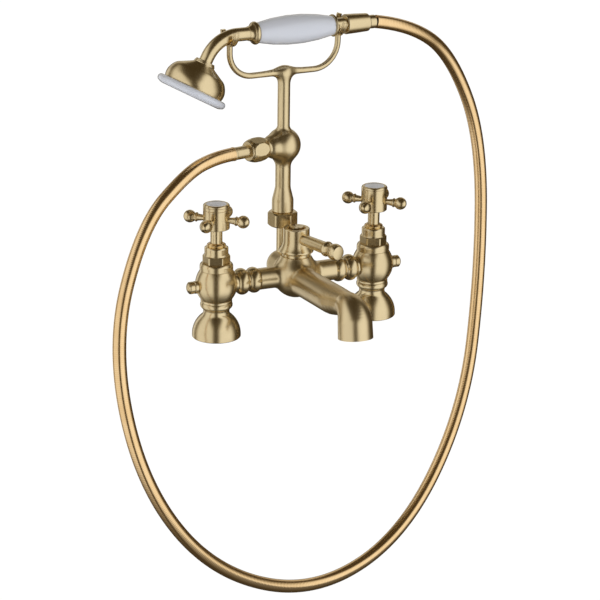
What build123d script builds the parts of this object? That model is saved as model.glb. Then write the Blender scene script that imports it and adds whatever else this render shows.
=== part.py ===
from build123d import *
import math
import os

# Bridge bath mixer tap with cradle, handset and hose, in millimetres.
# Origin midway between the two feet, on the face that they stand on.
# +X runs along the bridge to the cold side, -Y towards the bath, +Z up.

# Driving dimensions
inlet_spacing = 180.0
bridge_height = 56.0
riser_back = 35.0
foot_radius = 25.4
ball_radius = 21.9
pillar_height = 80.0
inlet_radius = 12.1
inlet_depth = 14.0
waterway = 7.5
chamber_radius = 11.0
chamber_floor = 44.0
seal_groove = 1.6
tail_seat = 19.3
tail_spigot = 8.4
knob_seat = 20.6
knob_thread = 3.9

hex_flats = 25.2
hex_top = 88.8
bonnet_radius = 12.35
bonnet_top = 97.6
ring_top = 98.7
gland_top = 101.4
spindle_radius = 4.4
hub_radius = 13.7
hub_bottom = 116.5
hub_top = 143.0
wing_height = 126.6
wing_reach = 29.1
wing_heading = {-1: -43.5, 1: -45.4}
wing_root = 8.5
wing_seat = 13.2

arm_radius = 11.3
arm_end = 43.0
bulb_radius = 24.3
boss_radius = 16.4
diverter_bore = 11.0
neck_top = 80.3
spout_spigot = 9.5
spout_drop = 2.3
mouth_radius = 13.6
mouth_depth = 6.0
straightener_radius = 13.0
skirt_bottom = 80.8
tower_top = 107.0
cap_seat = 104.2
lever_height = 97.0
lever_reach = 67.5
lever_heading = -76.7

riser_pipe = 6.3
nut_bottom = 100.0
nut_top = 115.5
column_neck = 10.2
tee_height = 187.5
tee_radius = 18.2
branch_end = 25.2
sleeve_end = 65.8
run_height = 264.5
fork_reach = 63.0
fork_radius = 14.0
rod_radius = 3.1

handset_height = 308.4
neck_radius = 6.9
neck_start = 34.3
neck_straight = 54.5
neck_bend = 38.0
neck_run = 4.6
rose_tilt = 28.5
bell_height = 26.0
ring_thickness = 3.7
grip_left = 32.3
grip_right = -55.5
shank_end = -70.7
cone_end = -98.7
ferrule_end = -106.0

hose_radius = 7.0
hose_bore = 4.5
cradle_turn = 4.0
branch_turn = 14.0
hex_heading = -25.0
running = 0.05
fitted = 0.02

half_spacing = inlet_spacing / 2


def save(part, name):
    part.label = name
    export_step(part, "parts/" + name + ".step")


def upright(x, y=0.0):
    # Drawing plane whose local x is the radius from a vertical axis and local y the height
    return Plane(origin=(x, y, 0), x_dir=(1, 0, 0), z_dir=(0, -1, 0))


def post(x, y=0.0):
    return Axis((x, y, 0), (0, 0, 1))


def heading(degrees):
    return Vector(math.cos(math.radians(degrees)), math.sin(math.radians(degrees)), 0)


def side_plane(origin, direction):
    # Drawing plane whose local x runs along a level direction and local y is up
    return Plane(origin=origin, x_dir=direction, z_dir=direction.cross(Vector(0, 0, 1)))


riser_foot = Vector(0, riser_back, 0)
tee_centre = riser_foot + Vector(0, 0, tee_height)
to_rose = heading(180 + cradle_turn)
to_hose = heading(180 + branch_turn)
cradle_plane = side_plane(riser_foot, to_rose)
handset_axis = Axis(riser_foot + Vector(0, 0, handset_height), to_rose)


def on_cradle(along, height):
    return riser_foot + to_rose * along + Vector(0, 0, height)


def on_circle(middle, height, radius, degrees):
    # Point of a circle in a drawing, so that its arc turns into part of a true sphere
    angle = math.radians(degrees)
    return (middle + radius * math.cos(angle), height + radius * math.sin(angle))


# Pillars

def pillar(x):
    inward = -1 if x > 0 else 1
    with BuildPart() as body:
        with BuildSketch(upright(x)):
            with BuildLine():
                Polyline(
                    (inlet_radius, 0),
                    (foot_radius - 0.7, 0),
                    (foot_radius, 0.7),
                    (foot_radius, 3.0),
                )
                ThreePointArc((foot_radius, 3.0), (22.5, 14.9), (15.3, 23.7))
                ThreePointArc((15.3, 23.7), (14.1, 25.3), (13.6, 27.4))
                ThreePointArc((13.6, 27.4), (13.9, 29.6), (15.3, 31.6))
                ThreePointArc((15.3, 31.6), (16.9, 34.6), (16.0, 37.4))
                Polyline(
                    (16.0, 37.4),
                    (15.5, 37.8),
                    (16.4, 38.3),
                    (16.4, 39.8),
                    (15.7, 40.5),
                )
                ThreePointArc((15.7, 40.5), (ball_radius, bridge_height), (17.0, 72.0))
                Polyline((17.0, 72.0), (16.6, 72.5), (17.3, 73.0), (17.3, 76.6))
                ThreePointArc((17.3, 76.6), (16.7, 78.7), (15.0, pillar_height))
                Polyline(
                    (15.0, pillar_height),
                    (chamber_radius, pillar_height),
                    (chamber_radius, chamber_floor),
                    (waterway, chamber_floor),
                    (waterway, inlet_depth),
                    (inlet_radius, inlet_depth),
                    (inlet_radius, 0),
                )
            make_face()
        revolve(axis=post(x))
        # Flat and bore for the tail of the bridge
        with BuildSketch(Plane(origin=(x + inward * tail_seat, 0, bridge_height), z_dir=(inward, 0, 0))):
            Circle(10.4)
        extrude(amount=8, mode=Mode.SUBTRACT)
        with BuildSketch(Plane(origin=(x, 0, bridge_height), z_dir=(inward, 0, 0))):
            Circle(tail_spigot + fitted)
        extrude(amount=30, mode=Mode.SUBTRACT)
        # Flat and bore for the plug screw on the far side
        with BuildSketch(Plane(origin=(x - inward * knob_seat, 0, bridge_height), z_dir=(-inward, 0, 0))):
            Circle(7.3)
        extrude(amount=6, mode=Mode.SUBTRACT)
        with BuildSketch(Plane(origin=(x - inward * 12.8, 0, bridge_height), z_dir=(-inward, 0, 0))):
            Circle(knob_thread + fitted)
        extrude(amount=20, mode=Mode.SUBTRACT)
        # Groove under the foot for its sealing ring
        with BuildSketch(Plane.XY):
            with Locations((x, 0)):
                Circle(20.5)
                Circle(16.5, mode=Mode.SUBTRACT)
        extrude(amount=seal_groove, mode=Mode.SUBTRACT)
    return body.part


def foot_seals():
    with BuildPart() as seals:
        with BuildSketch(Plane.XY):
            with Locations((-half_spacing, 0), (half_spacing, 0)):
                Circle(20.45)
                Circle(16.55, mode=Mode.SUBTRACT)
        extrude(amount=seal_groove - 0.05)
    return seals.part


def plug_screws():
    # Grooved screws on the outer sides of the two balls
    seat = half_spacing + knob_seat
    rim = on_circle(2.4, 0, 10.0, 30)
    crown = on_circle(2.4, 0, 10.0, 15)
    with BuildPart() as screws:
        for side in (-1, 1):
            with BuildSketch(Plane.XZ):
                with BuildLine():
                    Polyline(
                        (side * (seat + 12.4), bridge_height),
                        (side * (seat - 6.8), bridge_height),
                        (side * (seat - 6.8), bridge_height + knob_thread),
                        (side * seat, bridge_height + knob_thread),
                        (side * seat, bridge_height + 5.9),
                        (side * (seat + 0.6), bridge_height + 5.9),
                        (side * (seat + 1.2), bridge_height + 6.6),
                        (side * (seat + 4.0), bridge_height + 6.6),
                        (side * (seat + 4.4), bridge_height + 5.7),
                        (side * (seat + 5.0), bridge_height + 5.7),
                        (side * (seat + 5.4), bridge_height + 6.4),
                        (side * (seat + 9.4), bridge_height + 6.4),
                        (side * (seat + rim[0]), bridge_height + rim[1]),
                    )
                    ThreePointArc(
                        (side * (seat + rim[0]), bridge_height + rim[1]),
                        (side * (seat + crown[0]), bridge_height + crown[1]),
                        (side * (seat + 12.4), bridge_height),
                    )
                make_face()
            revolve(axis=Axis((0, 0, bridge_height), (1, 0, 0)))
    return screws.part


# Headworks, closed over the pillars by a hexagon and a gland

def headwork(x):
    with BuildPart() as work:
        with BuildSketch(Plane.XY.offset(pillar_height)):
            with Locations((x, 0)):
                RegularPolygon(hex_flats / 2, 6, major_radius=False, rotation=hex_heading)
        extrude(amount=hex_top - pillar_height)
        # Corners of the hexagon turned off above and below
        with BuildSketch(upright(x)):
            with BuildLine():
                Polyline(
                    (0, pillar_height),
                    (13.4, pillar_height),
                    (14.6, pillar_height + 0.8),
                    (14.6, hex_top - 1.3),
                    (13.0, hex_top),
                    (0, hex_top),
                    close=True,
                )
            make_face()
        revolve(axis=post(x), mode=Mode.INTERSECT)
        with BuildSketch(upright(x)):
            with BuildLine():
                Polyline(
                    (0, 66.0),
                    (chamber_radius - fitted, 66.0),
                    (chamber_radius - fitted, pillar_height),
                    (12.3, pillar_height + 1.0),
                    (12.3, hex_top - 1.0),
                    (13.1, hex_top - 0.2),
                )
                ThreePointArc((13.1, hex_top - 0.2), (12.6, hex_top + 0.7), (bonnet_radius, hex_top + 2.0))
                Polyline(
                    (bonnet_radius, hex_top + 2.0),
                    (bonnet_radius, bonnet_top - 1.2),
                    (bonnet_radius - 1.3, bonnet_top),
                    (0, bonnet_top),
                    (0, 66.0),
                )
            make_face()
        revolve(axis=post(x))
        with BuildSketch(Plane.XY.offset(66.0)):
            with Locations((x, 0)):
                Circle(spindle_radius + running)
        extrude(amount=bonnet_top - 66.0, mode=Mode.SUBTRACT)
    return work.part


def side_of(x):
    return -1 if x < 0 else 1


def both_sides(ring):
    # Makes one node of a turned ring that is repeated on the two pillars
    with BuildPart() as pair:
        for x in (-half_spacing, half_spacing):
            with BuildSketch(upright(x)):
                with BuildLine():
                    Polyline(*ring, close=True)
                make_face()
            revolve(axis=post(x))
    return pair.part


seat_washer = (
    (waterway + 0.1, chamber_floor),
    (chamber_radius - 0.1, chamber_floor),
    (chamber_radius - 0.1, chamber_floor + 1.5),
    (waterway + 0.1, chamber_floor + 1.5),
)
polished_ring = (
    (6.5, bonnet_top),
    (9.0, bonnet_top),
    (9.4, bonnet_top + 0.35),
    (9.4, ring_top - 0.35),
    (9.0, ring_top),
    (6.5, ring_top),
)
gland_ring = (
    (spindle_radius + running, ring_top),
    (8.9, ring_top),
    (9.7, ring_top + 0.6),
    (9.7, ring_top + 1.2),
    (7.5, gland_top),
    (6.6, gland_top),
    (6.6, gland_top - 1.6),
    (spindle_radius + running, gland_top - 1.6),
)


def valve_housings():
    # Housings of the ceramic discs, with a window towards the bridge
    with BuildPart() as housings:
        for x in (-half_spacing, half_spacing):
            with BuildSketch(upright(x)):
                with BuildLine():
                    Polyline(
                        (5.0, chamber_floor + 1.5),
                        (10.7, chamber_floor + 1.5),
                        (10.7, 48.6),
                        (9.2, 48.6),
                        (9.2, 66.0),
                        (6.0, 66.0),
                        (6.0, 60.5),
                        (8.0, 60.5),
                        (8.0, 48.6),
                        (5.0, 48.6),
                        close=True,
                    )
                make_face()
            revolve(axis=post(x))
            with BuildSketch(Plane(origin=(x, 0, 54.5), x_dir=(0, 1, 0), z_dir=(1, 0, 0))):
                Rectangle(8.0, 9.0)
            extrude(amount=12, both=True, mode=Mode.SUBTRACT)
    return housings.part


# Crosshead handles

def spindle(x):
    with BuildPart() as stem:
        with BuildSketch(upright(x)):
            with BuildLine():
                Polyline(
                    (0, 48.9),
                    (7.7, 48.9),
                    (7.7, 54.0),
                    (spindle_radius, 57.0),
                    (spindle_radius, 132.0),
                    (0, 132.0),
                    close=True,
                )
            make_face()
        revolve(axis=post(x))
        # Passage through the turning disc, and the screw hole in the top
        with BuildSketch(Plane.XY.offset(48.0)):
            with Locations((x + 4.2, 0)):
                Circle(2.4)
        extrude(amount=12.0, mode=Mode.SUBTRACT)
        with BuildSketch(Plane.XY.offset(120.0)):
            with Locations((x, 0)):
                Circle(1.6)
        extrude(amount=12.0, mode=Mode.SUBTRACT)
    return stem.part


def stem_sleeve(x):
    with BuildPart() as sleeve:
        with BuildSketch(Plane.XY.offset(gland_top - 1.3)):
            with Locations((x, 0)):
                Circle(6.2)
                Circle(spindle_radius + fitted, mode=Mode.SUBTRACT)
        extrude(amount=hub_bottom - gland_top + 1.3)
    return sleeve.part


def hub(x, grooves):
    with BuildPart() as body:
        with BuildSketch(upright(x)):
            with BuildLine():
                Line((0, hub_bottom), (hub_radius - 1.2, hub_bottom))
                ThreePointArc(
                    (hub_radius - 1.2, hub_bottom),
                    (hub_radius - 0.35, hub_bottom + 0.35),
                    (hub_radius, hub_bottom + 1.2),
                )
                Line((hub_radius, hub_bottom + 1.2), (hub_radius, 140.6))
                ThreePointArc((hub_radius, 140.6), (13.1, 142.2), (11.4, hub_top))
                Polyline(
                    (11.4, hub_top),
                    (10.5, hub_top),
                    (10.5, 141.2),
                    (6.0, 141.2),
                    (6.0, 132.0),
                    (0, 132.0),
                    (0, hub_bottom),
                )
            make_face()
        revolve(axis=post(x))
        for height in grooves:
            with BuildSketch(Plane.XY.offset(height)):
                with Locations((x, 0)):
                    Circle(hub_radius + 1)
                    Circle(hub_radius - 0.35, mode=Mode.SUBTRACT)
            extrude(amount=0.6, mode=Mode.SUBTRACT)
        with BuildSketch(Plane.XY.offset(hub_bottom)):
            with Locations((x, 0)):
                Circle(spindle_radius + fitted)
        extrude(amount=20, mode=Mode.SUBTRACT)
        # Seats of the four wings
        centre = Vector(x, 0, wing_height)
        for quarter in range(4):
            out = heading(wing_heading[side_of(x)] + 90 * quarter)
            with BuildSketch(Plane(origin=centre + out * wing_root, z_dir=out)):
                Circle(2.4 + fitted)
            extrude(amount=10, mode=Mode.SUBTRACT)
            with BuildSketch(Plane(origin=centre + out * wing_seat, z_dir=out)):
                Circle(2.95)
            extrude(amount=5, mode=Mode.SUBTRACT)
    return body.part


def wings(x):
    # Four turned arms that end in balls, each a solid of its own
    centre = Vector(x, 0, wing_height)
    ball = 6.6
    throat = on_circle(wing_reach, 0, ball, 137)
    tip = wing_reach + ball
    with BuildPart() as cross:
        for quarter in range(4):
            out = heading(wing_heading[side_of(x)] + 90 * quarter)
            with BuildSketch(side_plane(centre, out)):
                with BuildLine():
                    Polyline(
                        (tip, 0),
                        (wing_root + 0.1, 0),
                        (wing_root + 0.1, 2.4),
                        (wing_seat, 2.4),
                        (wing_seat, 2.8),
                        (19.8, 3.7),
                        (20.6, 3.7),
                        (21.3, 4.9),
                        (22.0, 4.9),
                    )
                    ThreePointArc((22.0, 4.9), (22.9, 4.3), throat)
                    ThreePointArc(throat, on_circle(wing_reach, 0, ball, 60), (tip, 0))
                make_face()
            revolve(axis=Axis(centre, out))
    return cross.part


def index_disc(x):
    # Flat below and slightly domed above
    dome = 42.25
    edge = on_circle(0, 144.2 - dome, dome, 75.75)
    with BuildPart() as disc:
        with BuildSketch(upright(x)):
            with BuildLine():
                Polyline((0, 144.2), (0, 141.2), (edge[0], 141.2), edge)
                ThreePointArc(edge, on_circle(0, 144.2 - dome, dome, 83), (0, 144.2))
            make_face()
        revolve(axis=post(x))
    return disc.part


def handle_screw(x):
    with BuildPart() as screw:
        with BuildSketch(upright(x)):
            with BuildLine():
                Polyline(
                    (0, 122.0),
                    (1.58, 122.0),
                    (1.58, 132.0),
                    (5.0, 132.0),
                    (5.0, 135.6),
                    (0, 135.6),
                    close=True,
                )
            make_face()
        revolve(axis=post(x))
        with BuildSketch(Plane.XY.offset(134.2)):
            with Locations((x, 0)):
                Rectangle(12.0, 1.0)
        extrude(amount=3.0, mode=Mode.SUBTRACT)
    return screw.part


# Bridge

def bridge_body():
    with BuildPart() as body:
        with BuildSketch(Plane(origin=(-arm_end, 0, bridge_height), z_dir=(1, 0, 0))):
            Circle(arm_radius)
        extrude(amount=2 * arm_end)
        with Locations((0, 0, bridge_height)):
            Sphere(bulb_radius)
        for low, high in ((-23.5, -21.0), (21.0, 23.5)):
            root = body.edges().filter_by(GeomType.CIRCLE).filter_by_position(Axis.X, low, high)
            fillet(root, 3.5)
        # Threaded ends that the beaded tails are screwed on
        with BuildSketch(Plane(origin=(-arm_end - 8.6, 0, bridge_height), z_dir=(1, 0, 0))):
            Circle(8.0)
        extrude(amount=2 * arm_end + 17.2)
        # Neck under the diverter, with a bead at its top
        with BuildSketch(upright(0)):
            with BuildLine():
                Polyline((0, neck_top), (0, 60.0), (19.5, 66.0), (19.0, 70.9))
                ThreePointArc((19.0, 70.9), (15.8, 73.4), (14.2, 76.9))
                Polyline(
                    (14.2, 76.9),
                    (14.7, 77.3),
                    (14.7, neck_top - 0.5),
                    (14.2, neck_top),
                    (0, neck_top),
                )
            make_face()
        revolve(axis=post(0))
        # Rear boss that carries the riser
        with BuildSketch(Plane(origin=(0, 8, bridge_height), z_dir=(0, 1, 0))):
            Circle(boss_radius)
        extrude(amount=riser_back - 8)
        with Locations((0, riser_back, bridge_height)):
            Sphere(boss_radius)
        # Waterways
        with BuildSketch(Plane(origin=(-arm_end - 10, 0, bridge_height), z_dir=(1, 0, 0))):
            Circle(6.0)
        extrude(amount=2 * arm_end + 20, mode=Mode.SUBTRACT)
        with BuildSketch(Plane.XY.offset(40.0)):
            Circle(diverter_bore)
        extrude(amount=neck_top - 40.0, mode=Mode.SUBTRACT)
        with BuildSketch(Plane(origin=(0, 0, bridge_height - spout_drop), z_dir=(0, -1, 0))):
            Circle(spout_spigot + fitted)
        extrude(amount=30, mode=Mode.SUBTRACT)
        with BuildSketch(Plane(origin=(0, 0, bridge_height), z_dir=(0, 1, 0))):
            Circle(5.5)
        extrude(amount=riser_back + 4, mode=Mode.SUBTRACT)
        with BuildSketch(Plane.XY.offset(bridge_height)):
            with Locations((0, riser_back)):
                Circle(riser_pipe + fitted)
        extrude(amount=30, mode=Mode.SUBTRACT)
    return body.part


def bridge_tail(side):
    # Beaded tail between an arm of the bridge and the ball of its pillar
    seat = half_spacing - tail_seat
    with BuildPart() as tail:
        with BuildSketch(Plane.XZ):
            with BuildLine():
                Polyline(
                    (side * seat, bridge_height + tail_spigot),
                    (side * 77.4, bridge_height + tail_spigot),
                    (side * 77.4, bridge_height + 6.0),
                    (side * (arm_end + 8.7), bridge_height + 6.0),
                    (side * (arm_end + 8.7), bridge_height + 8.0 + fitted),
                    (side * arm_end, bridge_height + 8.0 + fitted),
                    (side * arm_end, bridge_height + 11.0),
                )
                ThreePointArc(
                    (side * arm_end, bridge_height + 11.0),
                    (side * 48.6, bridge_height + 13.6),
                    (side * 54.2, bridge_height + 10.8),
                )
                ThreePointArc(
                    (side * 54.2, bridge_height + 10.8),
                    (side * 55.4, bridge_height + 10.2),
                    (side * 56.6, bridge_height + 10.9),
                )
                ThreePointArc(
                    (side * 56.6, bridge_height + 10.9),
                    (side * 62.3, bridge_height + 14.0),
                    (side * 67.8, bridge_height + 10.8),
                )
                ThreePointArc(
                    (side * 67.8, bridge_height + 10.8),
                    (side * 68.5, bridge_height + 10.3),
                    (side * 69.4, bridge_height + 10.1),
                )
                Polyline(
                    (side * 69.4, bridge_height + 10.1),
                    (side * seat, bridge_height + 10.1),
                    (side * seat, bridge_height + tail_spigot),
                )
            make_face()
        revolve(axis=Axis((0, 0, bridge_height), (1, 0, 0)))
    return tail.part


# Spout: every section has a place, a slope below the level and a radius
bend_y = -122.5
bend_z = 41.2
spout_rise = -3.3
mouth_section = (-143.5, 33.2, 82.0, 17.7)


def bend_sections():
    # Circles fanned round the sharp inner corner of the spout, a little wider one after the other
    sections = []
    for step in range(5):
        slope = spout_rise + step * (82.0 - spout_rise) / 4
        reach = 17.7 + 0.5 * step
        y = bend_y - reach * math.sin(math.radians(slope))
        z = bend_z + reach * math.cos(math.radians(slope))
        sections.append((y, z, slope, 15.6 + 0.4 * step))
    return sections


def section_plane(y, z, slope):
    angle = math.radians(slope)
    return Plane(origin=(0, y, z), x_dir=(1, 0, 0), z_dir=(0, -math.cos(angle), -math.sin(angle)))


mouth = section_plane(*mouth_section[:3])


def spout():
    bend = bend_sections()
    height = bridge_height - spout_drop
    wall = 5.6
    with BuildPart() as body:
        for run in ([(-15.0, 53.0, spout_rise, 15.3), bend[0]], bend, [bend[-1], mouth_section]):
            for y, z, slope, radius in run:
                with BuildSketch(section_plane(y, z, slope)):
                    Circle(radius)
            loft()
        with Locations((0, 0, bridge_height)):
            Sphere(bulb_radius + fitted, mode=Mode.SUBTRACT)
        with BuildSketch(section_plane(-12.3, height, 0)):
            Circle(spout_spigot)
        extrude(amount=30)
        # Waterway, then the wide mouth that holds the flow straightener
        for run in ([(-12.2, height, 0, 7.4 + wall), bend[0]], bend, [bend[-1], mouth_section]):
            for y, z, slope, radius in run:
                with BuildSketch(section_plane(y, z, slope)):
                    Circle(radius - wall)
            loft(mode=Mode.SUBTRACT)
        with BuildSketch(mouth):
            Circle(straightener_radius)
        extrude(amount=-11, mode=Mode.SUBTRACT)
        with BuildSketch(mouth):
            Circle(mouth_radius)
        extrude(amount=-mouth_depth, mode=Mode.SUBTRACT)
    return body.part


def straightener():
    # Perforated disc with a rim, seated in the step behind the mouth of the spout
    with BuildPart() as disc:
        with BuildSketch(mouth.offset(-11.0)):
            Circle(straightener_radius - fitted)
        extrude(amount=4.7)
        with BuildSketch(mouth.offset(-9.0)):
            Circle(straightener_radius - 1.4)
        extrude(amount=4.0, mode=Mode.SUBTRACT)
        with BuildSketch(mouth.offset(-11.0)):
            with GridLocations(3.6, 3.6, 5, 5):
                Circle(1.2)
        extrude(amount=3.0, mode=Mode.SUBTRACT)
    return disc.part


# Diverter

def diverter_sleeve():
    with BuildPart() as sleeve:
        with BuildSketch(Plane.XY.offset(66.0)):
            Circle(diverter_bore - fitted)
            Circle(5.0 + running, mode=Mode.SUBTRACT)
        extrude(amount=neck_top - 66.0)
    return sleeve.part


def diverter_plug():
    # Turning plug with a branched passage, and the stem that the handle turns
    with BuildPart() as plug:
        with BuildSketch(upright(0)):
            with BuildLine():
                Polyline(
                    (0, 40.4),
                    (diverter_bore - running, 40.4),
                    (diverter_bore - running, 65.7),
                    (5.0, 65.7),
                    (5.0, 69.0),
                    (3.8, 69.0),
                    (3.8, 70.6),
                    (5.0, 70.6),
                    (5.0, 74.0),
                    (3.8, 74.0),
                    (3.8, 75.6),
                    (5.0, 75.6),
                    (5.0, 101.0),
                    (0, 101.0),
                    close=True,
                )
            make_face()
        revolve(axis=post(0))
        with BuildSketch(Plane(origin=(-15, 0, bridge_height), z_dir=(1, 0, 0))):
            Circle(6.0)
        extrude(amount=30, mode=Mode.SUBTRACT)
        with BuildSketch(Plane(origin=(0, 0, bridge_height - spout_drop), z_dir=(0, -1, 0))):
            Circle(7.0)
        extrude(amount=15, mode=Mode.SUBTRACT)
        with BuildSketch(Plane.XY.offset(88.0)):
            Circle(2.5)
        extrude(amount=14, mode=Mode.SUBTRACT)
    return plug.part


def diverter_seals():
    with BuildPart() as rings:
        for height in (69.8, 74.8):
            with BuildSketch(upright(0)):
                with Locations((4.4, height)):
                    Circle(0.58)
            revolve(axis=post(0))
    return rings.part


def diverter_handle():
    out = heading(lever_heading)
    with BuildPart() as barrel:
        with BuildSketch(upright(0)):
            with BuildLine():
                Polyline(
                    (5.0 + fitted, 83.6),
                    (15.2, 83.6),
                    (15.2, skirt_bottom),
                    (16.6, skirt_bottom),
                )
                ThreePointArc((16.6, skirt_bottom), (18.3, 82.4), (17.9, 84.2))
                ThreePointArc((17.9, 84.2), (15.2, 88.4), (14.0, 93.5))
                Polyline(
                    (14.0, 93.5),
                    (14.0, tower_top - 0.6),
                    (13.4, tower_top),
                    (9.8, tower_top),
                    (9.8, cap_seat),
                    (5.0 + fitted, cap_seat),
                    (5.0 + fitted, 83.6),
                )
            make_face()
        revolve(axis=post(0))
        with BuildSketch(Plane(origin=out * 9.0 + Vector(0, 0, lever_height), z_dir=out)):
            Circle(3.0 + fitted)
        extrude(amount=10, mode=Mode.SUBTRACT)
        with BuildSketch(Plane(origin=out * 12.0 + Vector(0, 0, lever_height), z_dir=out)):
            Circle(5.3)
        extrude(amount=10, mode=Mode.SUBTRACT)
    return barrel.part


def diverter_lever():
    out = heading(lever_heading)
    ball = 8.0
    throat = on_circle(lever_reach, 0, ball, 140)
    tip = lever_reach + ball
    with BuildPart() as lever:
        with BuildSketch(side_plane(Vector(0, 0, lever_height), out)):
            with BuildLine():
                Polyline(
                    (tip, 0),
                    (9.1, 0),
                    (9.1, 3.0),
                    (12.0, 3.0),
                    (12.0, 4.9),
                    (46.6, 5.5),
                    (47.4, 6.1),
                )
                ThreePointArc((47.4, 6.1), (48.8, 6.8), (50.1, 6.0))
                Polyline((50.1, 6.0), (50.8, 5.6), (51.8, 6.3))
                ThreePointArc((51.8, 6.3), (54.6, 7.5), (57.4, 6.4))
                ThreePointArc((57.4, 6.4), (59.0, 5.3), throat)
                ThreePointArc(throat, on_circle(lever_reach, 0, ball, 60), (tip, 0))
            make_face()
        revolve(axis=Axis(Vector(0, 0, lever_height), out))
    return lever.part


def diverter_cap():
    # Hexagon headed screw that holds the handle on its stem
    top = tower_top + 0.2
    with BuildPart() as cap:
        with BuildSketch(Plane.XY.offset(cap_seat)):
            RegularPolygon(6.9, 6, major_radius=False, rotation=hex_heading)
        extrude(amount=top - cap_seat)
        with BuildSketch(upright(0)):
            with BuildLine():
                Polyline(
                    (0, cap_seat),
                    (8.1, cap_seat),
                    (8.1, top - 0.7),
                    (7.2, top),
                    (0, top),
                    close=True,
                )
            make_face()
        revolve(axis=post(0), mode=Mode.INTERSECT)
        with BuildSketch(Plane.XY.offset(90.0)):
            Circle(2.45)
        extrude(amount=cap_seat - 90.0)
    return cap.part


# Riser

def lower_pipe():
    with BuildPart() as pipe:
        with BuildSketch(upright(0, riser_back)):
            with BuildLine():
                Polyline(
                    (4.6, 62.0),
                    (riser_pipe, 62.0),
                    (riser_pipe, nut_bottom + 3.4),
                    (9.6, nut_bottom + 3.4),
                    (9.6, nut_bottom + 5.6),
                    (4.6, nut_bottom + 5.6),
                    close=True,
                )
            make_face()
        revolve(axis=post(0, riser_back))
    return pipe.part


def union_washer():
    with BuildPart() as washer:
        with BuildSketch(Plane.XY.offset(nut_bottom + 5.6)):
            with Locations((0, riser_back)):
                Circle(9.6)
                Circle(5.2, mode=Mode.SUBTRACT)
        extrude(amount=1.6)
    return washer.part


def union_nut():
    with BuildPart() as nut:
        with BuildSketch(Plane.XY.offset(nut_bottom)):
            with Locations((0, riser_back)):
                RegularPolygon(13.9, 6, major_radius=False, rotation=hex_heading + 4)
        extrude(amount=nut_top - nut_bottom)
        with BuildSketch(upright(0, riser_back)):
            with BuildLine():
                Polyline(
                    (riser_pipe + 0.1, nut_bottom),
                    (13.4, nut_bottom),
                    (16.1, nut_bottom + 1.9),
                    (16.1, nut_top - 1.9),
                    (13.4, nut_top),
                    (column_neck + running, nut_top),
                    (column_neck + running, nut_bottom + 3.4),
                    (riser_pipe + 0.1, nut_bottom + 3.4),
                    close=True,
                )
            make_face()
        revolve(axis=post(0, riser_back), mode=Mode.INTERSECT)
    return nut.part


def riser_column():
    with BuildPart() as column:
        with BuildSketch(upright(0, riser_back)):
            with BuildLine():
                Polyline(
                    (0, 208.0),
                    (0, nut_bottom + 7.5),
                    (column_neck, nut_bottom + 7.5),
                    (column_neck, nut_top + 0.3),
                    (10.6, nut_top + 0.3),
                    (11.1, nut_top + 0.9),
                    (11.1, 125.0),
                )
                Spline((11.1, 125.0), (9.7, 135.5), (7.8, 147.5), tangents=((0, 1), (0, 1)))
                Line((7.8, 147.5), (7.8, 163.0))
                ThreePointArc((7.8, 163.0), (8.15, 168.0), (9.7, 172.1))
                ThreePointArc((9.7, 172.1), (tee_radius, tee_height), (9.0, 203.3))
                ThreePointArc((9.0, 203.3), (7.3, 205.4), (6.7, 208.0))
                Line((6.7, 208.0), (0, 208.0))
            make_face()
        revolve(axis=post(0, riser_back))
        # Branch to the hose, with its threaded end
        with BuildSketch(side_plane(tee_centre, to_hose)):
            with BuildLine():
                Polyline((8.0, 0), (8.0, 12.6), (13.1, 12.6))
                ThreePointArc((13.1, 12.6), (15.2, 10.3), (18.4, 9.1))
                Polyline(
                    (18.4, 9.1),
                    (branch_end, 9.1),
                    (branch_end, 8.2),
                    (branch_end + 8.6, 8.2),
                    (branch_end + 8.6, 0),
                    (8.0, 0),
                )
            make_face()
        revolve(axis=Axis(tee_centre, to_hose))
        # Waterways, and the hole that the cradle is screwed in
        with BuildSketch(Plane.XY.offset(nut_bottom + 7.5)):
            with Locations((0, riser_back)):
                Circle(5.0)
        extrude(amount=tee_height - nut_bottom - 7.5, mode=Mode.SUBTRACT)
        with BuildSketch(Plane(origin=tee_centre, z_dir=to_hose)):
            Circle(5.0)
        extrude(amount=branch_end + 10, mode=Mode.SUBTRACT)
        with BuildSketch(Plane.XY.offset(196.5)):
            with Locations((0, riser_back)):
                Circle(4.0 + fitted)
        extrude(amount=13.0, mode=Mode.SUBTRACT)
    return column.part


def fork_floor(side):
    # Height of the inner bottom of each strap, a little under the part that lies in it
    return 299.1 if side > 0 else 300.0


def cradle():
    with BuildPart() as body:
        with BuildSketch(upright(0, riser_back)):
            with BuildLine():
                Polyline((0, run_height), (0, 197.0), (4.0, 197.0), (4.0, 208.0), (6.5, 208.0), (6.5, 254.5))
                ThreePointArc((6.5, 254.5), (7.1, 258.0), (9.2, 260.9))
                Line((9.2, 260.9), (0, run_height))
            make_face()
        revolve(axis=post(0, riser_back))
        for side, bend in ((-1, 28.0), (1, 25.0)):
            # Level run, thicker over the stem
            straight = fork_reach - bend
            for along, lift, radius in ((0.0, 1.0, 5.0), (8.0, 0.9, 4.2), (20.0, 0.2, 3.3), (straight, 0.0, rod_radius)):
                with BuildSketch(Plane(origin=on_cradle(side * along, run_height + lift), z_dir=to_rose * side)):
                    Circle(radius)
            loft()
            # Wide bend and short upright to the fork
            quarter = bend * math.sin(math.radians(45))
            with BuildLine(cradle_plane):
                ThreePointArc(
                    (side * straight, run_height),
                    (side * (straight + quarter), run_height + bend - quarter),
                    (side * fork_reach, run_height + bend),
                )
                Line((side * fork_reach, run_height + bend), (side * fork_reach, fork_floor(side) - 1.2))
            with BuildSketch(Plane(origin=on_cradle(side * straight, run_height), z_dir=to_rose * side)):
                Circle(rod_radius)
            sweep()
    return body.part


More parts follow.
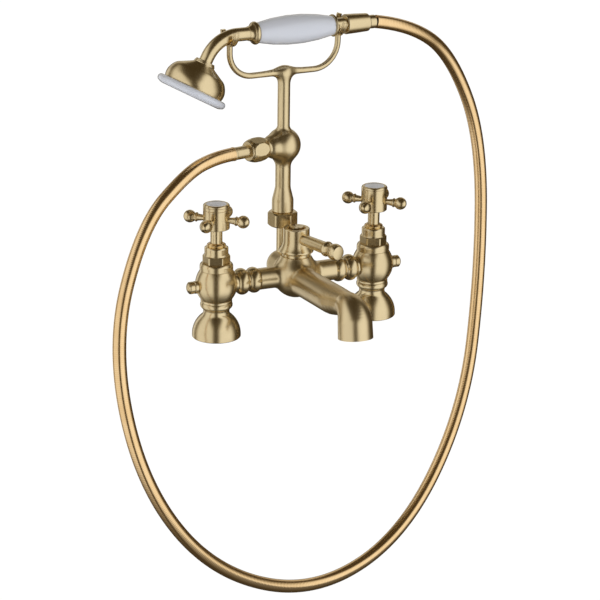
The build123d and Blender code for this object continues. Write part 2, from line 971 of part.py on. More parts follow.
# Section of a fork: distance from its inner face and place across its width
strap = (
    (0.0, -2.4),
    (0.4, -2.8),
    (1.9, -2.8),
    (2.2, -2.4),
    (2.2, -1.7),
    (1.7, -1.4),
    (2.2, -1.1),
    (2.2, 1.1),
    (1.7, 1.4),
    (2.2, 1.7),
    (2.2, 2.4),
    (1.9, 2.8),
    (0.4, 2.8),
    (0.0, 2.4),
)


def cradle_forks():
    # Two grooved straps bent to a U; the right one is turned and leans away from the grip
    with BuildPart() as forks:
        for side, turn, lean, front, back in ((1, 0.0, 0.0, 5.5, 2.0), (-1, -15.0, 15.0, 5.0, 6.0)):
            along = heading(180 + cradle_turn + turn)
            across = along.cross(Vector(0, 0, 1))
            tilt = math.radians(lean)
            rise = Vector(0, 0, 1) * math.cos(tilt) + along * (side * math.sin(tilt))
            centre = on_cradle(side * fork_reach, fork_floor(side)) + rise * fork_radius
            loop = Plane(origin=centre, x_dir=across, z_dir=across.cross(rise))
            with BuildLine(loop):
                Line((-fork_radius, front), (-fork_radius, 0))
                ThreePointArc((-fork_radius, 0), (0, -fork_radius), (fork_radius, 0))
                Line((fork_radius, 0), (fork_radius, back))
            tip = centre - across * fork_radius + rise * front
            with BuildSketch(Plane(origin=tip, x_dir=-across, z_dir=-rise)):
                with BuildLine():
                    Polyline(*strap, close=True)
                make_face()
            sweep()
    return forks.part


def hose_nut():
    # Barrel shaped hexagon nut on the branch, with an inner shoulder behind the sleeve's flange
    near = branch_end + 0.1
    with BuildPart() as nut:
        with BuildSketch(Plane(origin=tee_centre + to_hose * near, x_dir=(0, 0, 1), z_dir=to_hose)):
            RegularPolygon(11.4, 6, major_radius=False, rotation=12.5)
        extrude(amount=20.3)
        with BuildSketch(side_plane(tee_centre, to_hose)):
            with BuildLine():
                Polyline((near, 0), (near, 11.0))
                ThreePointArc((near, 11.0), (near + 9.5, 13.0), (near + 19.5, 11.1))
                Polyline((near + 19.5, 11.1), (near + 20.3, 10.4), (near + 20.3, 0), (near, 0))
            make_face()
        revolve(axis=Axis(tee_centre, to_hose), mode=Mode.INTERSECT)
        with BuildSketch(side_plane(tee_centre, to_hose)):
            with BuildLine():
                Polyline(
                    (near + 19.0, 7.5),
                    (near + 19.0, 10.0),
                    (near + 20.8, 10.6),
                    (near + 21.6, 9.9),
                    (near + 21.6, 7.5),
                    close=True,
                )
            make_face()
        revolve(axis=Axis(tee_centre, to_hose))
        with BuildSketch(Plane(origin=tee_centre + to_hose * (near - 1), z_dir=to_hose)):
            Circle(8.2 + fitted)
        extrude(amount=13.5, mode=Mode.SUBTRACT)
        with BuildSketch(Plane(origin=tee_centre + to_hose * near, z_dir=to_hose)):
            Circle(6.6 + fitted)
        extrude(amount=30.0, mode=Mode.SUBTRACT)
    return nut.part


def branch_washer():
    with BuildPart() as washer:
        with BuildSketch(Plane(origin=tee_centre + to_hose * (branch_end + 8.6), z_dir=to_hose)):
            Circle(8.15)
            Circle(4.8, mode=Mode.SUBTRACT)
        extrude(amount=1.6)
    return washer.part


def hose_sleeve():
    start = branch_end + 10.2
    with BuildPart() as sleeve:
        with BuildSketch(side_plane(tee_centre, to_hose)):
            with BuildLine():
                Polyline(
                    (start, hose_bore),
                    (start, 8.15),
                    (start + 2.4, 8.15),
                    (start + 2.4, 6.6),
                    (sleeve_end - 2.0, 6.6),
                    (sleeve_end - 1.4, 7.3),
                    (sleeve_end, 7.3),
                    (sleeve_end, hose_bore),
                    close=True,
                )
            make_face()
        revolve(axis=Axis(tee_centre, to_hose))
    return sleeve.part


# Hose: corners of its route from the sleeve on the branch to the ferrule of the handset
hose_start = tee_centre + to_hose * sleeve_end
hose_end = on_cradle(ferrule_end - 1.8, handset_height - 0.2)
hose_route = (
    hose_start,
    hose_start + to_hose * 22.0,
    Vector(-120, 5, 177),
    Vector(-175, -10, 131),
    Vector(-219, -39, 18),
    Vector(-200, -70, -124),
    Vector(-123, -74, -234),
    Vector(2, -55, -291),
    Vector(127, -23, -258),
    Vector(222, 21, -139),
    Vector(261, 66, 5),
    Vector(265, 83, 158),
    Vector(217, 73, 258),
    Vector(152, 46, 301),
    hose_end,
)


def hose_radii():
    # Bend at every corner of the route, from the shorter of its two runs
    radii = []
    for before, corner, after in zip(hose_route, hose_route[1:], hose_route[2:]):
        first = corner - before
        second = after - corner
        shorter = min(first.length, second.length)
        turn = math.radians(first.get_angle(second))
        radii.append(0.45 * shorter / math.tan(turn / 2))
    return radii


def hose():
    radii = hose_radii()
    with BuildPart() as tube:
        with BuildLine() as route:
            FilletPolyline(*hose_route, radius=radii)
        with BuildSketch(Plane(origin=hose_start, z_dir=to_hose)):
            Circle(hose_radius)
            Circle(hose_bore, mode=Mode.SUBTRACT)
        sweep()
    length = sum(edge.length for edge in route.edges())
    section = math.pi * (hose_radius**2 - hose_bore**2)
    print("hose corner radii", [round(value) for value in radii])
    print("hose length", round(length, 1), "volume over section and length", tube.part.volume / section / length)
    return tube.part


# Handset, lying in the cradle

def turned_on_handset(points):
    with BuildPart() as body:
        with BuildSketch(cradle_plane):
            with BuildLine():
                Polyline(*((along, handset_height + radius) for along, radius in points), close=True)
            make_face()
        revolve(axis=handset_axis)
    return body.part


def porcelain_grip():
    middle = (grip_left + grip_right) / 2
    with BuildPart() as grip:
        with BuildSketch(cradle_plane):
            with BuildLine():
                Polyline(
                    (grip_right + 0.4, handset_height + 10.0),
                    (grip_right, handset_height + 9.6),
                    (grip_right, handset_height + hose_bore + 0.1),
                    (grip_left, handset_height + hose_bore + 0.1),
                    (grip_left, handset_height + 9.9),
                    (grip_left - 0.4, handset_height + 10.3),
                )
                ThreePointArc(
                    (grip_left - 0.4, handset_height + 10.3),
                    (middle, handset_height + 15.2),
                    (grip_right + 0.4, handset_height + 10.0),
                )
            make_face()
        revolve(axis=handset_axis)
    return grip.part


def neck_collar():
    with BuildPart() as collar:
        with BuildSketch(cradle_plane):
            with BuildLine():
                Polyline(
                    (42.4, handset_height + 7.4),
                    (42.4, handset_height + neck_radius + fitted),
                    (neck_start - 0.1, handset_height + neck_radius + fitted),
                    (neck_start - 0.1, handset_height + hose_bore + 0.1),
                    (grip_left, handset_height + hose_bore + 0.1),
                    (grip_left, handset_height + 10.4),
                    (grip_left + 0.5, handset_height + 11.1),
                )
                ThreePointArc(
                    (grip_left + 0.5, handset_height + 11.1),
                    (34.9, handset_height + 11.8),
                    (37.0, handset_height + 10.6),
                )
                ThreePointArc(
                    (37.0, handset_height + 10.6),
                    (39.2, handset_height + 8.4),
                    (42.4, handset_height + 7.4),
                )
            make_face()
        revolve(axis=handset_axis)
    return collar.part


bend_angle = 90.0 - rose_tilt
bend_end = (
    neck_straight + neck_bend * math.sin(math.radians(bend_angle)),
    handset_height - neck_bend * (1 - math.cos(math.radians(bend_angle))),
)
rose_up = Vector(0, 0, 1) * math.cos(math.radians(rose_tilt)) - to_rose * math.sin(math.radians(rose_tilt))
rose_side = to_rose * math.cos(math.radians(rose_tilt)) + Vector(0, 0, 1) * math.sin(math.radians(rose_tilt))
rose_lip = on_cradle(*bend_end) - rose_up * (neck_run + bell_height + ring_thickness)
rose_plane = Plane(origin=rose_lip, x_dir=rose_side, z_dir=rose_side.cross(rose_up))
rose_axis = Axis(rose_lip, rose_up)


def rose_neck():
    half = math.radians(bend_angle / 2)
    tip = (
        bend_end[0] + neck_run * math.sin(math.radians(rose_tilt)),
        bend_end[1] - neck_run * math.cos(math.radians(rose_tilt)),
    )
    with BuildPart() as neck:
        with BuildLine(cradle_plane):
            Line((neck_start, handset_height), (neck_straight, handset_height))
            ThreePointArc(
                (neck_straight, handset_height),
                (neck_straight + neck_bend * math.sin(half), handset_height - neck_bend * (1 - math.cos(half))),
                bend_end,
            )
            Line(bend_end, tip)
        with BuildSketch(Plane(origin=on_cradle(neck_start, handset_height), z_dir=to_rose)):
            Circle(neck_radius)
            Circle(4.2, mode=Mode.SUBTRACT)
        sweep()
    return neck.part


def rose_bell():
    # Turned bell with its spigot in the neck and two grooves round its collar
    top = bell_height + ring_thickness
    with BuildPart() as bell:
        with BuildSketch(rose_plane):
            with BuildLine():
                Line((28.6, 0), (31.2, 0))
                Spline((31.2, 0), (31.9, 4.2), (31.3, 8.8), (29.0, 13.8), tangents=((0.3, 1), (-0.6, 1)))
                ThreePointArc((29.0, 13.8), (26.9, 16.6), (23.9, 18.8))
                Spline((23.9, 18.8), (18.9, 21.4), (14.3, 23.9), (10.9, 26.2), tangents=((-1, 0.45), (-0.7, 0.8)))
                Polyline(
                    (10.9, 26.2),
                    (10.9, 27.1),
                    (10.5, 27.3),
                    (10.9, 27.5),
                    (10.9, 28.4),
                    (10.5, 28.6),
                    (10.9, 28.8),
                    (10.9, top - 0.4),
                    (10.4, top),
                    (4.2 - fitted, top),
                    (4.2 - fitted, top + 4.0),
                    (3.0, top + 4.0),
                    (3.0, 22.0),
                    (8.0, 21.6),
                )
                Spline((8.0, 21.6), (16.0, 18.6), (24.0, 13.6), (28.6, 4.0), tangents=((1, -0.2), (0, -1)))
                Line((28.6, 4.0), (28.6, 0))
            make_face()
        revolve(axis=rose_axis)
    return bell.part


def rose_face_ring():
    # Rounded white ring round the face of the rose
    with BuildPart() as ring:
        with BuildSketch(rose_plane):
            with BuildLine():
                Polyline((27.0, -8.3), (27.0, 1.5), (28.5, 1.5), (28.5, 0), (33.4, 0))
                ThreePointArc((33.4, 0), (37.3, -3.5), (35.2, -7.2))
                ThreePointArc((35.2, -7.2), (31.5, -8.5), (27.0, -8.3))
            make_face()
        revolve(axis=rose_axis)
    return ring.part


def spray_plate():
    with BuildPart() as plate:
        with BuildSketch(Plane(origin=rose_lip - rose_up * 5.0, x_dir=rose_side, z_dir=rose_up)):
            Circle(27.0 - fitted)
            Circle(1.1, mode=Mode.SUBTRACT)
            for ring in (1, 2, 3):
                with PolarLocations(7.2 * ring, 6 * ring):
                    Circle(1.1, mode=Mode.SUBTRACT)
        extrude(amount=3.0)
    return plate.part


def inner_tube():
    return turned_on_handset(((34.0, 3.4), (34.0, hose_bore), (-70.0, hose_bore), (-70.0, 3.4)))


def grip_cap():
    # Thin flange on the end of the grip, and the shank that lies in the right fork
    return turned_on_handset(
        (
            (grip_right, hose_bore + 0.1),
            (grip_right, 11.3),
            (grip_right - 1.6, 11.6),
            (grip_right - 2.3, 10.9),
            (grip_right - 2.9, 8.8),
            (grip_right - 4.6, 7.3),
            (shank_end, 7.3),
            (shank_end, 6.4),
            (shank_end - 11.0, 6.4),
            (shank_end - 11.0, hose_bore + 0.1),
        )
    )


def cone_nut():
    return turned_on_handset(
        (
            (shank_end, 6.4 + fitted),
            (shank_end, 9.8),
            (shank_end - 0.7, 10.5),
            (shank_end - 13.0, 10.1),
            (shank_end - 26.6, 9.4),
            (cone_end, 8.0),
            (cone_end, 6.4 + fitted),
        )
    )


def hose_ferrule():
    return turned_on_handset(
        (
            (shank_end - 13.0, hose_bore),
            (shank_end - 13.0, 6.4),
            (cone_end - 0.1, 6.4),
            (cone_end - 0.1, 7.1),
            (ferrule_end, 7.1),
            (ferrule_end, hose_bore),
        )
    )


def main():
    os.makedirs("parts", exist_ok=True)
    for name, x, grooves in (("hot", -half_spacing, (136.8, 140.2)), ("cold", half_spacing, (140.2,))):
        save(pillar(x), name + "_pillar")
        save(headwork(x), name + "_headwork")
        save(spindle(x), name + "_spindle")
        save(stem_sleeve(x), name + "_stem_sleeve")
        save(hub(x, grooves), name + "_hub")
        save(wings(x), name + "_wings")
        save(index_disc(x), name + "_index_disc")
        save(handle_screw(x), name + "_handle_screw")
        save(bridge_tail(side_of(x)), name + "_bridge_tail")
    save(foot_seals(), "foot_seals")
    save(plug_screws(), "plug_screws")
    save(both_sides(seat_washer), "seat_washers")
    save(both_sides(polished_ring), "polished_rings")
    save(both_sides(gland_ring), "gland_rings")
    save(valve_housings(), "valve_housings")
    save(bridge_body(), "bridge_body")
    save(spout(), "spout")
    save(straightener(), "flow_straightener")
    save(diverter_sleeve(), "diverter_sleeve")
    save(diverter_plug(), "diverter_plug")
    save(diverter_seals(), "diverter_seals")
    save(diverter_handle(), "diverter_handle")
    save(diverter_lever(), "diverter_lever")
    save(diverter_cap(), "diverter_cap")
    save(lower_pipe(), "lower_pipe")
    save(union_washer(), "union_washer")
    save(union_nut(), "union_nut")
    save(riser_column(), "riser_column")
    save(cradle(), "cradle")
    save(cradle_forks(), "cradle_forks")
    save(hose_nut(), "hose_nut")
    save(branch_washer(), "branch_washer")
    save(hose_sleeve(), "hose_sleeve")
    save(hose(), "hose")
    save(porcelain_grip(), "porcelain_grip")
    save(neck_collar(), "neck_collar")
    save(rose_neck(), "rose_neck")
    save(rose_bell(), "rose_bell")
    save(rose_face_ring(), "rose_face_ring")
    save(spray_plate(), "spray_plate")
    save(inner_tube(), "inner_tube")
    save(grip_cap(), "grip_cap")
    save(cone_nut(), "cone_nut")
    save(hose_ferrule(), "hose_ferrule")


main()
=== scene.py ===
import bmesh
import bpy
import math
import numpy as np
from mathutils import Matrix, Vector


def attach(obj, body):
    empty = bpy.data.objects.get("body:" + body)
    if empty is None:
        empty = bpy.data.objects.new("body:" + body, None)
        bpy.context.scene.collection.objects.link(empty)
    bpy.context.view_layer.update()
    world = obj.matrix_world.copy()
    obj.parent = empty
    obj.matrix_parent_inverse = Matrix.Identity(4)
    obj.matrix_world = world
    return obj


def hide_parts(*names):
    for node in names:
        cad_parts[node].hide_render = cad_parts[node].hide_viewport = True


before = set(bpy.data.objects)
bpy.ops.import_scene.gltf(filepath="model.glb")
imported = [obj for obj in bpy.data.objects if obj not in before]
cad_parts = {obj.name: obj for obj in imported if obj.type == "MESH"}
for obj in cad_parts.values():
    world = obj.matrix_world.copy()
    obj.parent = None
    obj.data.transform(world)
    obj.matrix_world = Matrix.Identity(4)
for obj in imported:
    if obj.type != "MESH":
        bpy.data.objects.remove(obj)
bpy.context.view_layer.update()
mm = 0.001
scene = bpy.context.scene


# Places of the object, in millimetres as the CAD model has them

def level(degrees):
    return Vector((math.cos(math.radians(degrees)), math.sin(math.radians(degrees)), 0))


up = Vector((0, 0, 1))
riserFoot = Vector((0, 35, 0))
teeCentre = Vector((0, 35, 187.5))
toRose = level(184)
toHose = level(194)
gripMiddle = Vector((0, 35, 308.4))


def axes(x, y, z, origin):
    m = Matrix((x, y, z)).transposed().to_4x4()
    m.translation = origin
    return m


def place(origin, axis=(0, 0, 1)):
    # Matrix whose z runs along the axis of a piece
    z = Vector(axis).normalized()
    x = Vector((0, 0, 1) if abs(z.z) < 0.9 else (1, 0, 0))
    x = (x - z * x.dot(z)).normalized()
    return axes(x, z.cross(x), z, origin)


def onCradle(along, height):
    return riserFoot + toRose * along + up * height


# Shader maths: a wire is a socket that can be added, multiplied and so on

class Wire:
    def __init__(self, maker, socket):
        self.maker = maker
        self.socket = socket

    def __add__(self, other): return self.maker.maths("ADD", self, other)
    def __radd__(self, other): return self.maker.maths("ADD", other, self)
    def __sub__(self, other): return self.maker.maths("SUBTRACT", self, other)
    def __rsub__(self, other): return self.maker.maths("SUBTRACT", other, self)
    def __mul__(self, other): return self.maker.maths("MULTIPLY", self, other)
    def __truediv__(self, other): return self.maker.maths("DIVIDE", self, other)


class Maker:
    def __init__(self, tree):
        self.tree = tree

    def add(self, kind, settings=None, inputs=None, out=0):
        node = self.tree.nodes.new(kind)
        for key, value in (settings or {}).items():
            if key == "stops":
                ramp = node.color_ramp
                while len(ramp.elements) < len(value):
                    ramp.elements.new(0.5)
                for element, (position, colour) in zip(ramp.elements, value):
                    element.position = position
                    element.color = colour
            else:
                setattr(node, key, value)
        for key, value in (inputs or {}).items():
            socket = node.inputs[key]
            if isinstance(value, Wire):
                self.tree.links.new(value.socket, socket)
            else:
                socket.default_value = value
        return Wire(self, node.outputs[out]) if len(node.outputs) else node

    def maths(self, operation, a, b=0.0):
        return self.add("ShaderNodeMath", {"operation": operation}, {0: a, 1: b})

    def vector(self, operation, a, inputs=None, out=0):
        return self.add("ShaderNodeVectorMath", {"operation": operation}, {0: a, **(inputs or {})}, out)

    def smooth(self, value, low, high, toLow=0.0, toHigh=1.0):
        return self.add("ShaderNodeMapRange", {"interpolation_type": "SMOOTHSTEP"},
                        {"Value": value, "From Min": low, "From Max": high, "To Min": toLow, "To Max": toHigh})

    def mixColour(self, factor, a, b):
        return self.add("ShaderNodeMix", {"data_type": "RGBA"}, {"Factor": factor, 6: a, 7: b}, out=2)

    def noise(self, vector, scale, detail=2.0, rough=0.5):
        inputs = {"Vector": vector, "Scale": scale, "Detail": detail, "Roughness": rough}
        return self.add("ShaderNodeTexNoise", {}, inputs)

    def bump(self, height, strength, distance=0.0002, **more):
        return self.add("ShaderNodeBump", {}, {"Strength": strength, "Distance": distance, "Height": height, **more})

    def spot(self, name):
        return self.add("ShaderNodeAttribute", {"attribute_name": name}, out="Vector")

    def number(self, name):
        return self.add("ShaderNodeAttribute", {"attribute_name": name}, out="Fac")

    def where(self):
        return self.add("ShaderNodeTexCoord", out="Object")

    def store(self, geometry, name, value, kind="FLOAT"):
        return self.add("GeometryNodeStoreNamedAttribute", {"data_type": kind, "domain": "POINT"},
                        {"Geometry": geometry, "Name": name, "Value": value})

    def named(self, name, kind="FLOAT"):
        return self.add("GeometryNodeInputNamedAttribute", {"data_type": kind}, {"Name": name})

    def ray(self, kind):
        return self.add("ShaderNodeLightPath", out="Is " + kind + " Ray")

    def mixShader(self, factor, a, b):
        return self.add("ShaderNodeMixShader", {}, {0: factor, 1: a, 2: b})


def emptyNodes(owner):
    owner.use_nodes = True
    owner.node_tree.nodes.clear()
    return owner, Maker(owner.node_tree)


def finishMaterial(maker, settings):
    surface = maker.add("ShaderNodeBsdfPrincipled", {}, settings, out="BSDF")
    maker.add("ShaderNodeOutputMaterial", {}, {"Surface": surface})


def dimmed(colour, share):
    return tuple(c * share for c in colour[:3]) + (1,)


brassFinish = {
    # The darkest brass colour is painted shade for the grooves of turned pieces
    "colour": (0.79, 0.645, 0.39, 1), "worn": (0.88, 0.765, 0.53, 1), "grooveShade": (0.44, 0.30, 0.14, 1),
    "roughness": 0.25, "grain": 0.03, "bump": 0.02, "spread": 0.45, "lines": (1.3, 1.3, 5.0),
}


def brass(name, turned, **changes):
    # Satin brass: fine turning lines, lighter on worn proud edges, and painted shade that darkens the grooves
    values = {**brassFinish, **changes}
    material, maker = emptyNodes(bpy.data.materials.new(name))
    where = maker.where()
    if turned:
        grain = maker.noise(maker.vector("MULTIPLY", maker.spot("turning"), {1: values["lines"]}), 1.0, 4.0, 0.6)
    else:
        grain = maker.noise(where, 2600.0, 3.0, 0.6)
    cloud = maker.noise(where, 55.0, 3.0, 0.55)
    colour = maker.mixColour(maker.smooth(cloud, 0.35, 0.7), values["colour"], dimmed(values["colour"], 0.95))
    rough = values["roughness"] + (grain - 0.5) * values["grain"] * 2 + (cloud - 0.5) * 0.03
    lit = {}
    if turned:
        rim = maker.number("rim")
        colour = maker.mixColour(maker.smooth(rim, 0.55, 1.0, 0, 0.75), colour, values["worn"])
        # Painted shade: grooves, where the outline bends inwards, are mixed towards a dark colour
        colour = maker.mixColour(maker.smooth(rim, 0.42, 0.05, 0, 0.8), colour, values["grooveShade"])
        # Turning lines smear a reflection along the profile, so the shading leans towards the radius
        facing = maker.add("ShaderNodeNewGeometry", out="Normal")
        toWorld = {"vector_type": "VECTOR", "convert_from": "OBJECT", "convert_to": "WORLD"}
        radius = maker.add("ShaderNodeVectorTransform", toWorld, {0: maker.spot("radial")})
        along = maker.vector("DOT_PRODUCT", facing, {1: radius}, out="Value")
        lean = maker.smooth(along, 0.08, 0.5) * values["spread"]
        facing = maker.vector("ADD", facing, {1: maker.vector("SCALE", radius, {"Scale": lean})})
        lit["Normal"] = maker.vector("NORMALIZE", facing)
    bump = maker.bump(grain, values["bump"], **lit)
    finishMaterial(maker, {"Base Color": colour, "Metallic": 1.0, "Roughness": rough, "Normal": bump})
    return material


glazeFinish = {
    "light": (0.80, 0.845, 0.965, 1), "shade": (0.77, 0.82, 0.95, 1), "roughness": 0.12, "coat": 0.3,
    "coatRoughness": 0.05,
}


def ceramic(name, values=glazeFinish):
    material, maker = emptyNodes(bpy.data.materials.new(name))
    where = maker.where()
    cloud = maker.noise(where, 40.0)
    finishMaterial(maker, {
        "Base Color": maker.mixColour(cloud, values["light"], values["shade"]),
        "Roughness": values["roughness"] + cloud * 0.08,
        "Normal": maker.bump(maker.noise(where, 90.0, 1.0), 0.04, 0.0005),
        "Coat Weight": values["coat"], "Coat Roughness": values["coatRoughness"],
    })
    return material


def matt(name, colour, rough, grainSize):
    material, maker = emptyNodes(bpy.data.materials.new(name))
    grain = maker.noise(maker.where(), 1000.0 / grainSize, 3.0)
    finishMaterial(maker, {
        "Base Color": maker.mixColour(grain, colour, dimmed(colour, 0.8)),
        "Roughness": rough + (grain - 0.5) * 0.1, "Normal": maker.bump(grain, 0.1),
    })
    return material


# The darker hose colour is painted shade for the hollows between rings, and is also used for a random mottle
hoseFinish = {"colour": (0.97, 0.70, 0.385, 1), "ringShadeAndMottle": (0.80, 0.50, 0.20, 1), "roughness": 0.22}


def hoseMetal(name, values=hoseFinish):
    # Warm metal skin with fine rings: painted shade makes it darker in the hollow between two of them
    material, maker = emptyNodes(bpy.data.materials.new(name))
    where = maker.where()
    cloud = maker.noise(where, 60.0, 3.0)
    grain = maker.noise(where, 1800.0)
    # Painted shade in the hollows between rings; the mix after it is a random mottle
    colour = maker.mixColour(maker.smooth(maker.number("ring"), 0.45, 0.0, 0, 0.4), values["colour"], values["ringShadeAndMottle"])
    colour = maker.mixColour(maker.smooth(cloud, 0.4, 0.75, 0, 0.25), colour, values["ringShadeAndMottle"])
    rough = values["roughness"] + (grain - 0.5) * 0.04 + (cloud - 0.5) * 0.04
    bump = maker.bump(grain, 0.08)
    finishMaterial(maker, {"Base Color": colour, "Metallic": 1.0, "Roughness": rough, "Normal": bump})
    return material


turnedBrass = brass("turnedBrass", True)
castBrass = brass("castBrass", False, roughness=0.31)
brightBrass = brass("brightBrass", True, roughness=0.14, colour=(0.86, 0.63, 0.24, 1), worn=(0.92, 0.74, 0.38, 1))
copperyBrass = brass("copperyBrass", True, roughness=0.24, colour=(0.80, 0.56, 0.26, 1), worn=(0.92, 0.74, 0.42, 1))
glaze = ceramic("whiteGlaze")
hoseSkin = hoseMetal("hoseSkin")
rubber = matt("blackRubber", (0.02, 0.02, 0.02, 1), 0.7, 1.0)
plastic = matt("palePlastic", (0.72, 0.72, 0.70, 1), 0.5, 0.6)
print("materials made")


# Meshes in millimetres, placed as their pieces are made

def outwards(mesh):
    work = bmesh.new()
    work.from_mesh(mesh)
    bmesh.ops.recalc_face_normals(work, faces=work.faces)
    work.to_mesh(mesh)
    work.free()


def newMesh(name, verts, faces, turning, rim=None, radial=None):
    # turning, rim and radial carry what the brass reads at each point
    mesh = bpy.data.meshes.new(name)
    mesh.from_pydata([(v[0] * mm, v[1] * mm, v[2] * mm) for v in verts], [], faces)
    for label, values in (("turning", turning), ("radial", radial or [(0, 0, 0)] * len(verts))):
        data = mesh.attributes.new(label, "FLOAT_VECTOR", "POINT").data
        data.foreach_set("vector", np.array(values, np.float32).ravel())
    rim = np.array(rim or [0.5] * len(verts), np.float32)
    mesh.attributes.new("rim", "FLOAT", "POINT").data.foreach_set("value", rim)
    outwards(mesh)
    return mesh


def joined(name, meshes):
    work = bmesh.new()
    for mesh in meshes:
        work.from_mesh(mesh)
    whole = bpy.data.meshes.new(name)
    work.to_mesh(whole)
    work.free()
    for mesh in meshes:
        bpy.data.meshes.remove(mesh)
    return whole


sharpAt = math.radians(38)


def piece(name, mesh, body, nodes=(), material=turnedBrass, slot="satin_brass"):
    work = bmesh.new()
    work.from_mesh(mesh)
    for edge in work.edges:
        edge.smooth = len(edge.link_faces) == 2 and edge.calc_face_angle(0) < sharpAt
    work.to_mesh(mesh)
    work.free()
    mesh.polygons.foreach_set("use_smooth", [True] * len(mesh.polygons))
    made = bpy.data.objects.new(name, mesh)
    scene.collection.objects.link(made)
    mesh.materials.clear()
    mesh.materials.append(material)
    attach(made, body)
    if nodes:
        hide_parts(*nodes)
    return made


def circle(steps):
    return [(math.cos(2 * math.pi * k / steps), math.sin(2 * math.pi * k / steps)) for k in range(steps)]


def tubeFaces(rings, count):
    # Quads between rings of as many points each, and an end face on the first and the last ring
    faces = []
    for k in range(rings - 1):
        for i in range(count):
            j = (i + 1) % count
            faces.append((k * count + i, k * count + j, (k + 1) * count + j, (k + 1) * count + i))
    return faces + [list(range(count)), [(rings - 1) * count + i for i in range(count)]]


def threePointArc(a, b, c, degrees=5.0):
    (ax, ay), (bx, by), (cx, cy) = a, b, c
    d = 2 * (ax * (by - cy) + bx * (cy - ay) + cx * (ay - by))
    if abs(d) < 1e-9:
        return [c]
    a2, b2, c2 = ax * ax + ay * ay, bx * bx + by * by, cx * cx + cy * cy
    ux = (a2 * (by - cy) + b2 * (cy - ay) + c2 * (ay - by)) / d
    uy = (a2 * (cx - bx) + b2 * (ax - cx) + c2 * (bx - ax)) / d
    radius = math.hypot(ax - ux, ay - uy)
    start = math.atan2(ay - uy, ax - ux)
    middle = math.atan2(by - uy, bx - ux)
    end = math.atan2(cy - uy, cx - ux)
    turn = (end - start) % (2 * math.pi)
    if (middle - start) % (2 * math.pi) > turn:
        turn -= 2 * math.pi
    steps = max(3, int(abs(math.degrees(turn)) / degrees))
    angles = [start + turn * i / steps for i in range(1, steps + 1)]
    return [(ux + radius * math.cos(angle), uy + radius * math.sin(angle)) for angle in angles]


class Outline:
    # Half section of a turned piece: radius and height, drawn with the metal on its left
    def __init__(self, radius, height):
        self.points = [(radius, height)]

    def to(self, *points):
        self.points += points
        return self

    def arc(self, middle, end):
        self.points += threePointArc(self.points[-1], middle, end)
        return self

    def flow(self, *points, leave=None, arrive=None):
        # Smooth curve through the points
        line = [self.points[-1]] + list(points)
        slopes = []
        for i, here in enumerate(line):
            before = line[max(i - 1, 0)]
            after = line[min(i + 1, len(line) - 1)]
            slopes.append(((after[0] - before[0]) / 2, (after[1] - before[1]) / 2))
        if leave:
            reach = math.dist(line[0], line[1]) / math.hypot(*leave)
            slopes[0] = (leave[0] * reach, leave[1] * reach)
        if arrive:
            reach = math.dist(line[-1], line[-2]) / math.hypot(*arrive)
            slopes[-1] = (arrive[0] * reach, arrive[1] * reach)
        for a, b, p, q in zip(line, line[1:], slopes, slopes[1:]):
            for i in range(1, 11):
                t = i / 10
                h = (2 * t**3 - 3 * t**2 + 1, t**3 - 2 * t**2 + t, 3 * t**2 - 2 * t**3, t**3 - t**2)
                point = [a[k] * h[0] + p[k] * h[1] + b[k] * h[2] + q[k] * h[3] for k in (0, 1)]
                self.points.append(tuple(point))
        return self

    def eased(self, size, closed):
        # Every sharp corner becomes a small round with a supporting line on either side
        clean = [self.points[0]]
        for point in self.points[1:]:
            if math.dist(point, clean[-1]) > 1e-4:
                clean.append(point)
        if closed and math.dist(clean[0], clean[-1]) < 1e-4:
            clean.pop()
        count = len(clean)
        line = []
        for i, here in enumerate(clean):
            if not closed and i in (0, count - 1):
                line.append(here)
                continue
            before, after = Vector(clean[i - 1]), Vector(clean[(i + 1) % count])
            point = Vector(here)
            a, b = before - point, after - point
            turn = math.pi - a.angle(b)
            if turn < math.radians(14):
                line.append(here)
                continue
            cut = min(size, a.length * 0.4, b.length * 0.4)
            a1, b1 = a.normalized(), b.normalized()
            if a.length > cut * 4:
                line.append(tuple(point + a1 * cut * 1.9))
            start, end = point + a1 * cut, point + b1 * cut
            for k in range(5):
                t = k / 4
                line.append(tuple(start * (1 - t) ** 2 + point * 2 * t * (1 - t) + end * t**2))
            if b.length > cut * 4:
                line.append(tuple(point + b1 * cut * 1.9))
        return line


def rimOf(line, closed):
    # 1 on proud rounded edges, 0 in grooves, from how the outline bends there
    count = len(line)
    bends = []
    for i in range(count):
        if not closed and i in (0, count - 1):
            bends.append(0.0)
            continue
        a, b, c = Vector(line[i - 1]), Vector(line[i]), Vector(line[(i + 1) % count])
        p, q = b - a, c - b
        if min(p.length, q.length) < 1e-6:
            bends.append(0.0)
            continue
        angle = math.atan2(p.x * q.y - p.y * q.x, p.dot(q))
        bends.append(angle / max((p.length + q.length) / 2, 0.05))
    area = sum(a[0] * b[1] - b[0] * a[1] for a, b in zip(line, line[1:] + line[:1]))
    sign = 1 if area > 0 else -1
    return [min(1.0, max(0.0, 0.5 + sign * bend * 0.35)) for bend in bends]


def runsAlong(line):
    runs = [0.0]
    for a, b in zip(line, line[1:]):
        runs.append(runs[-1] + math.dist(a, b))
    return runs


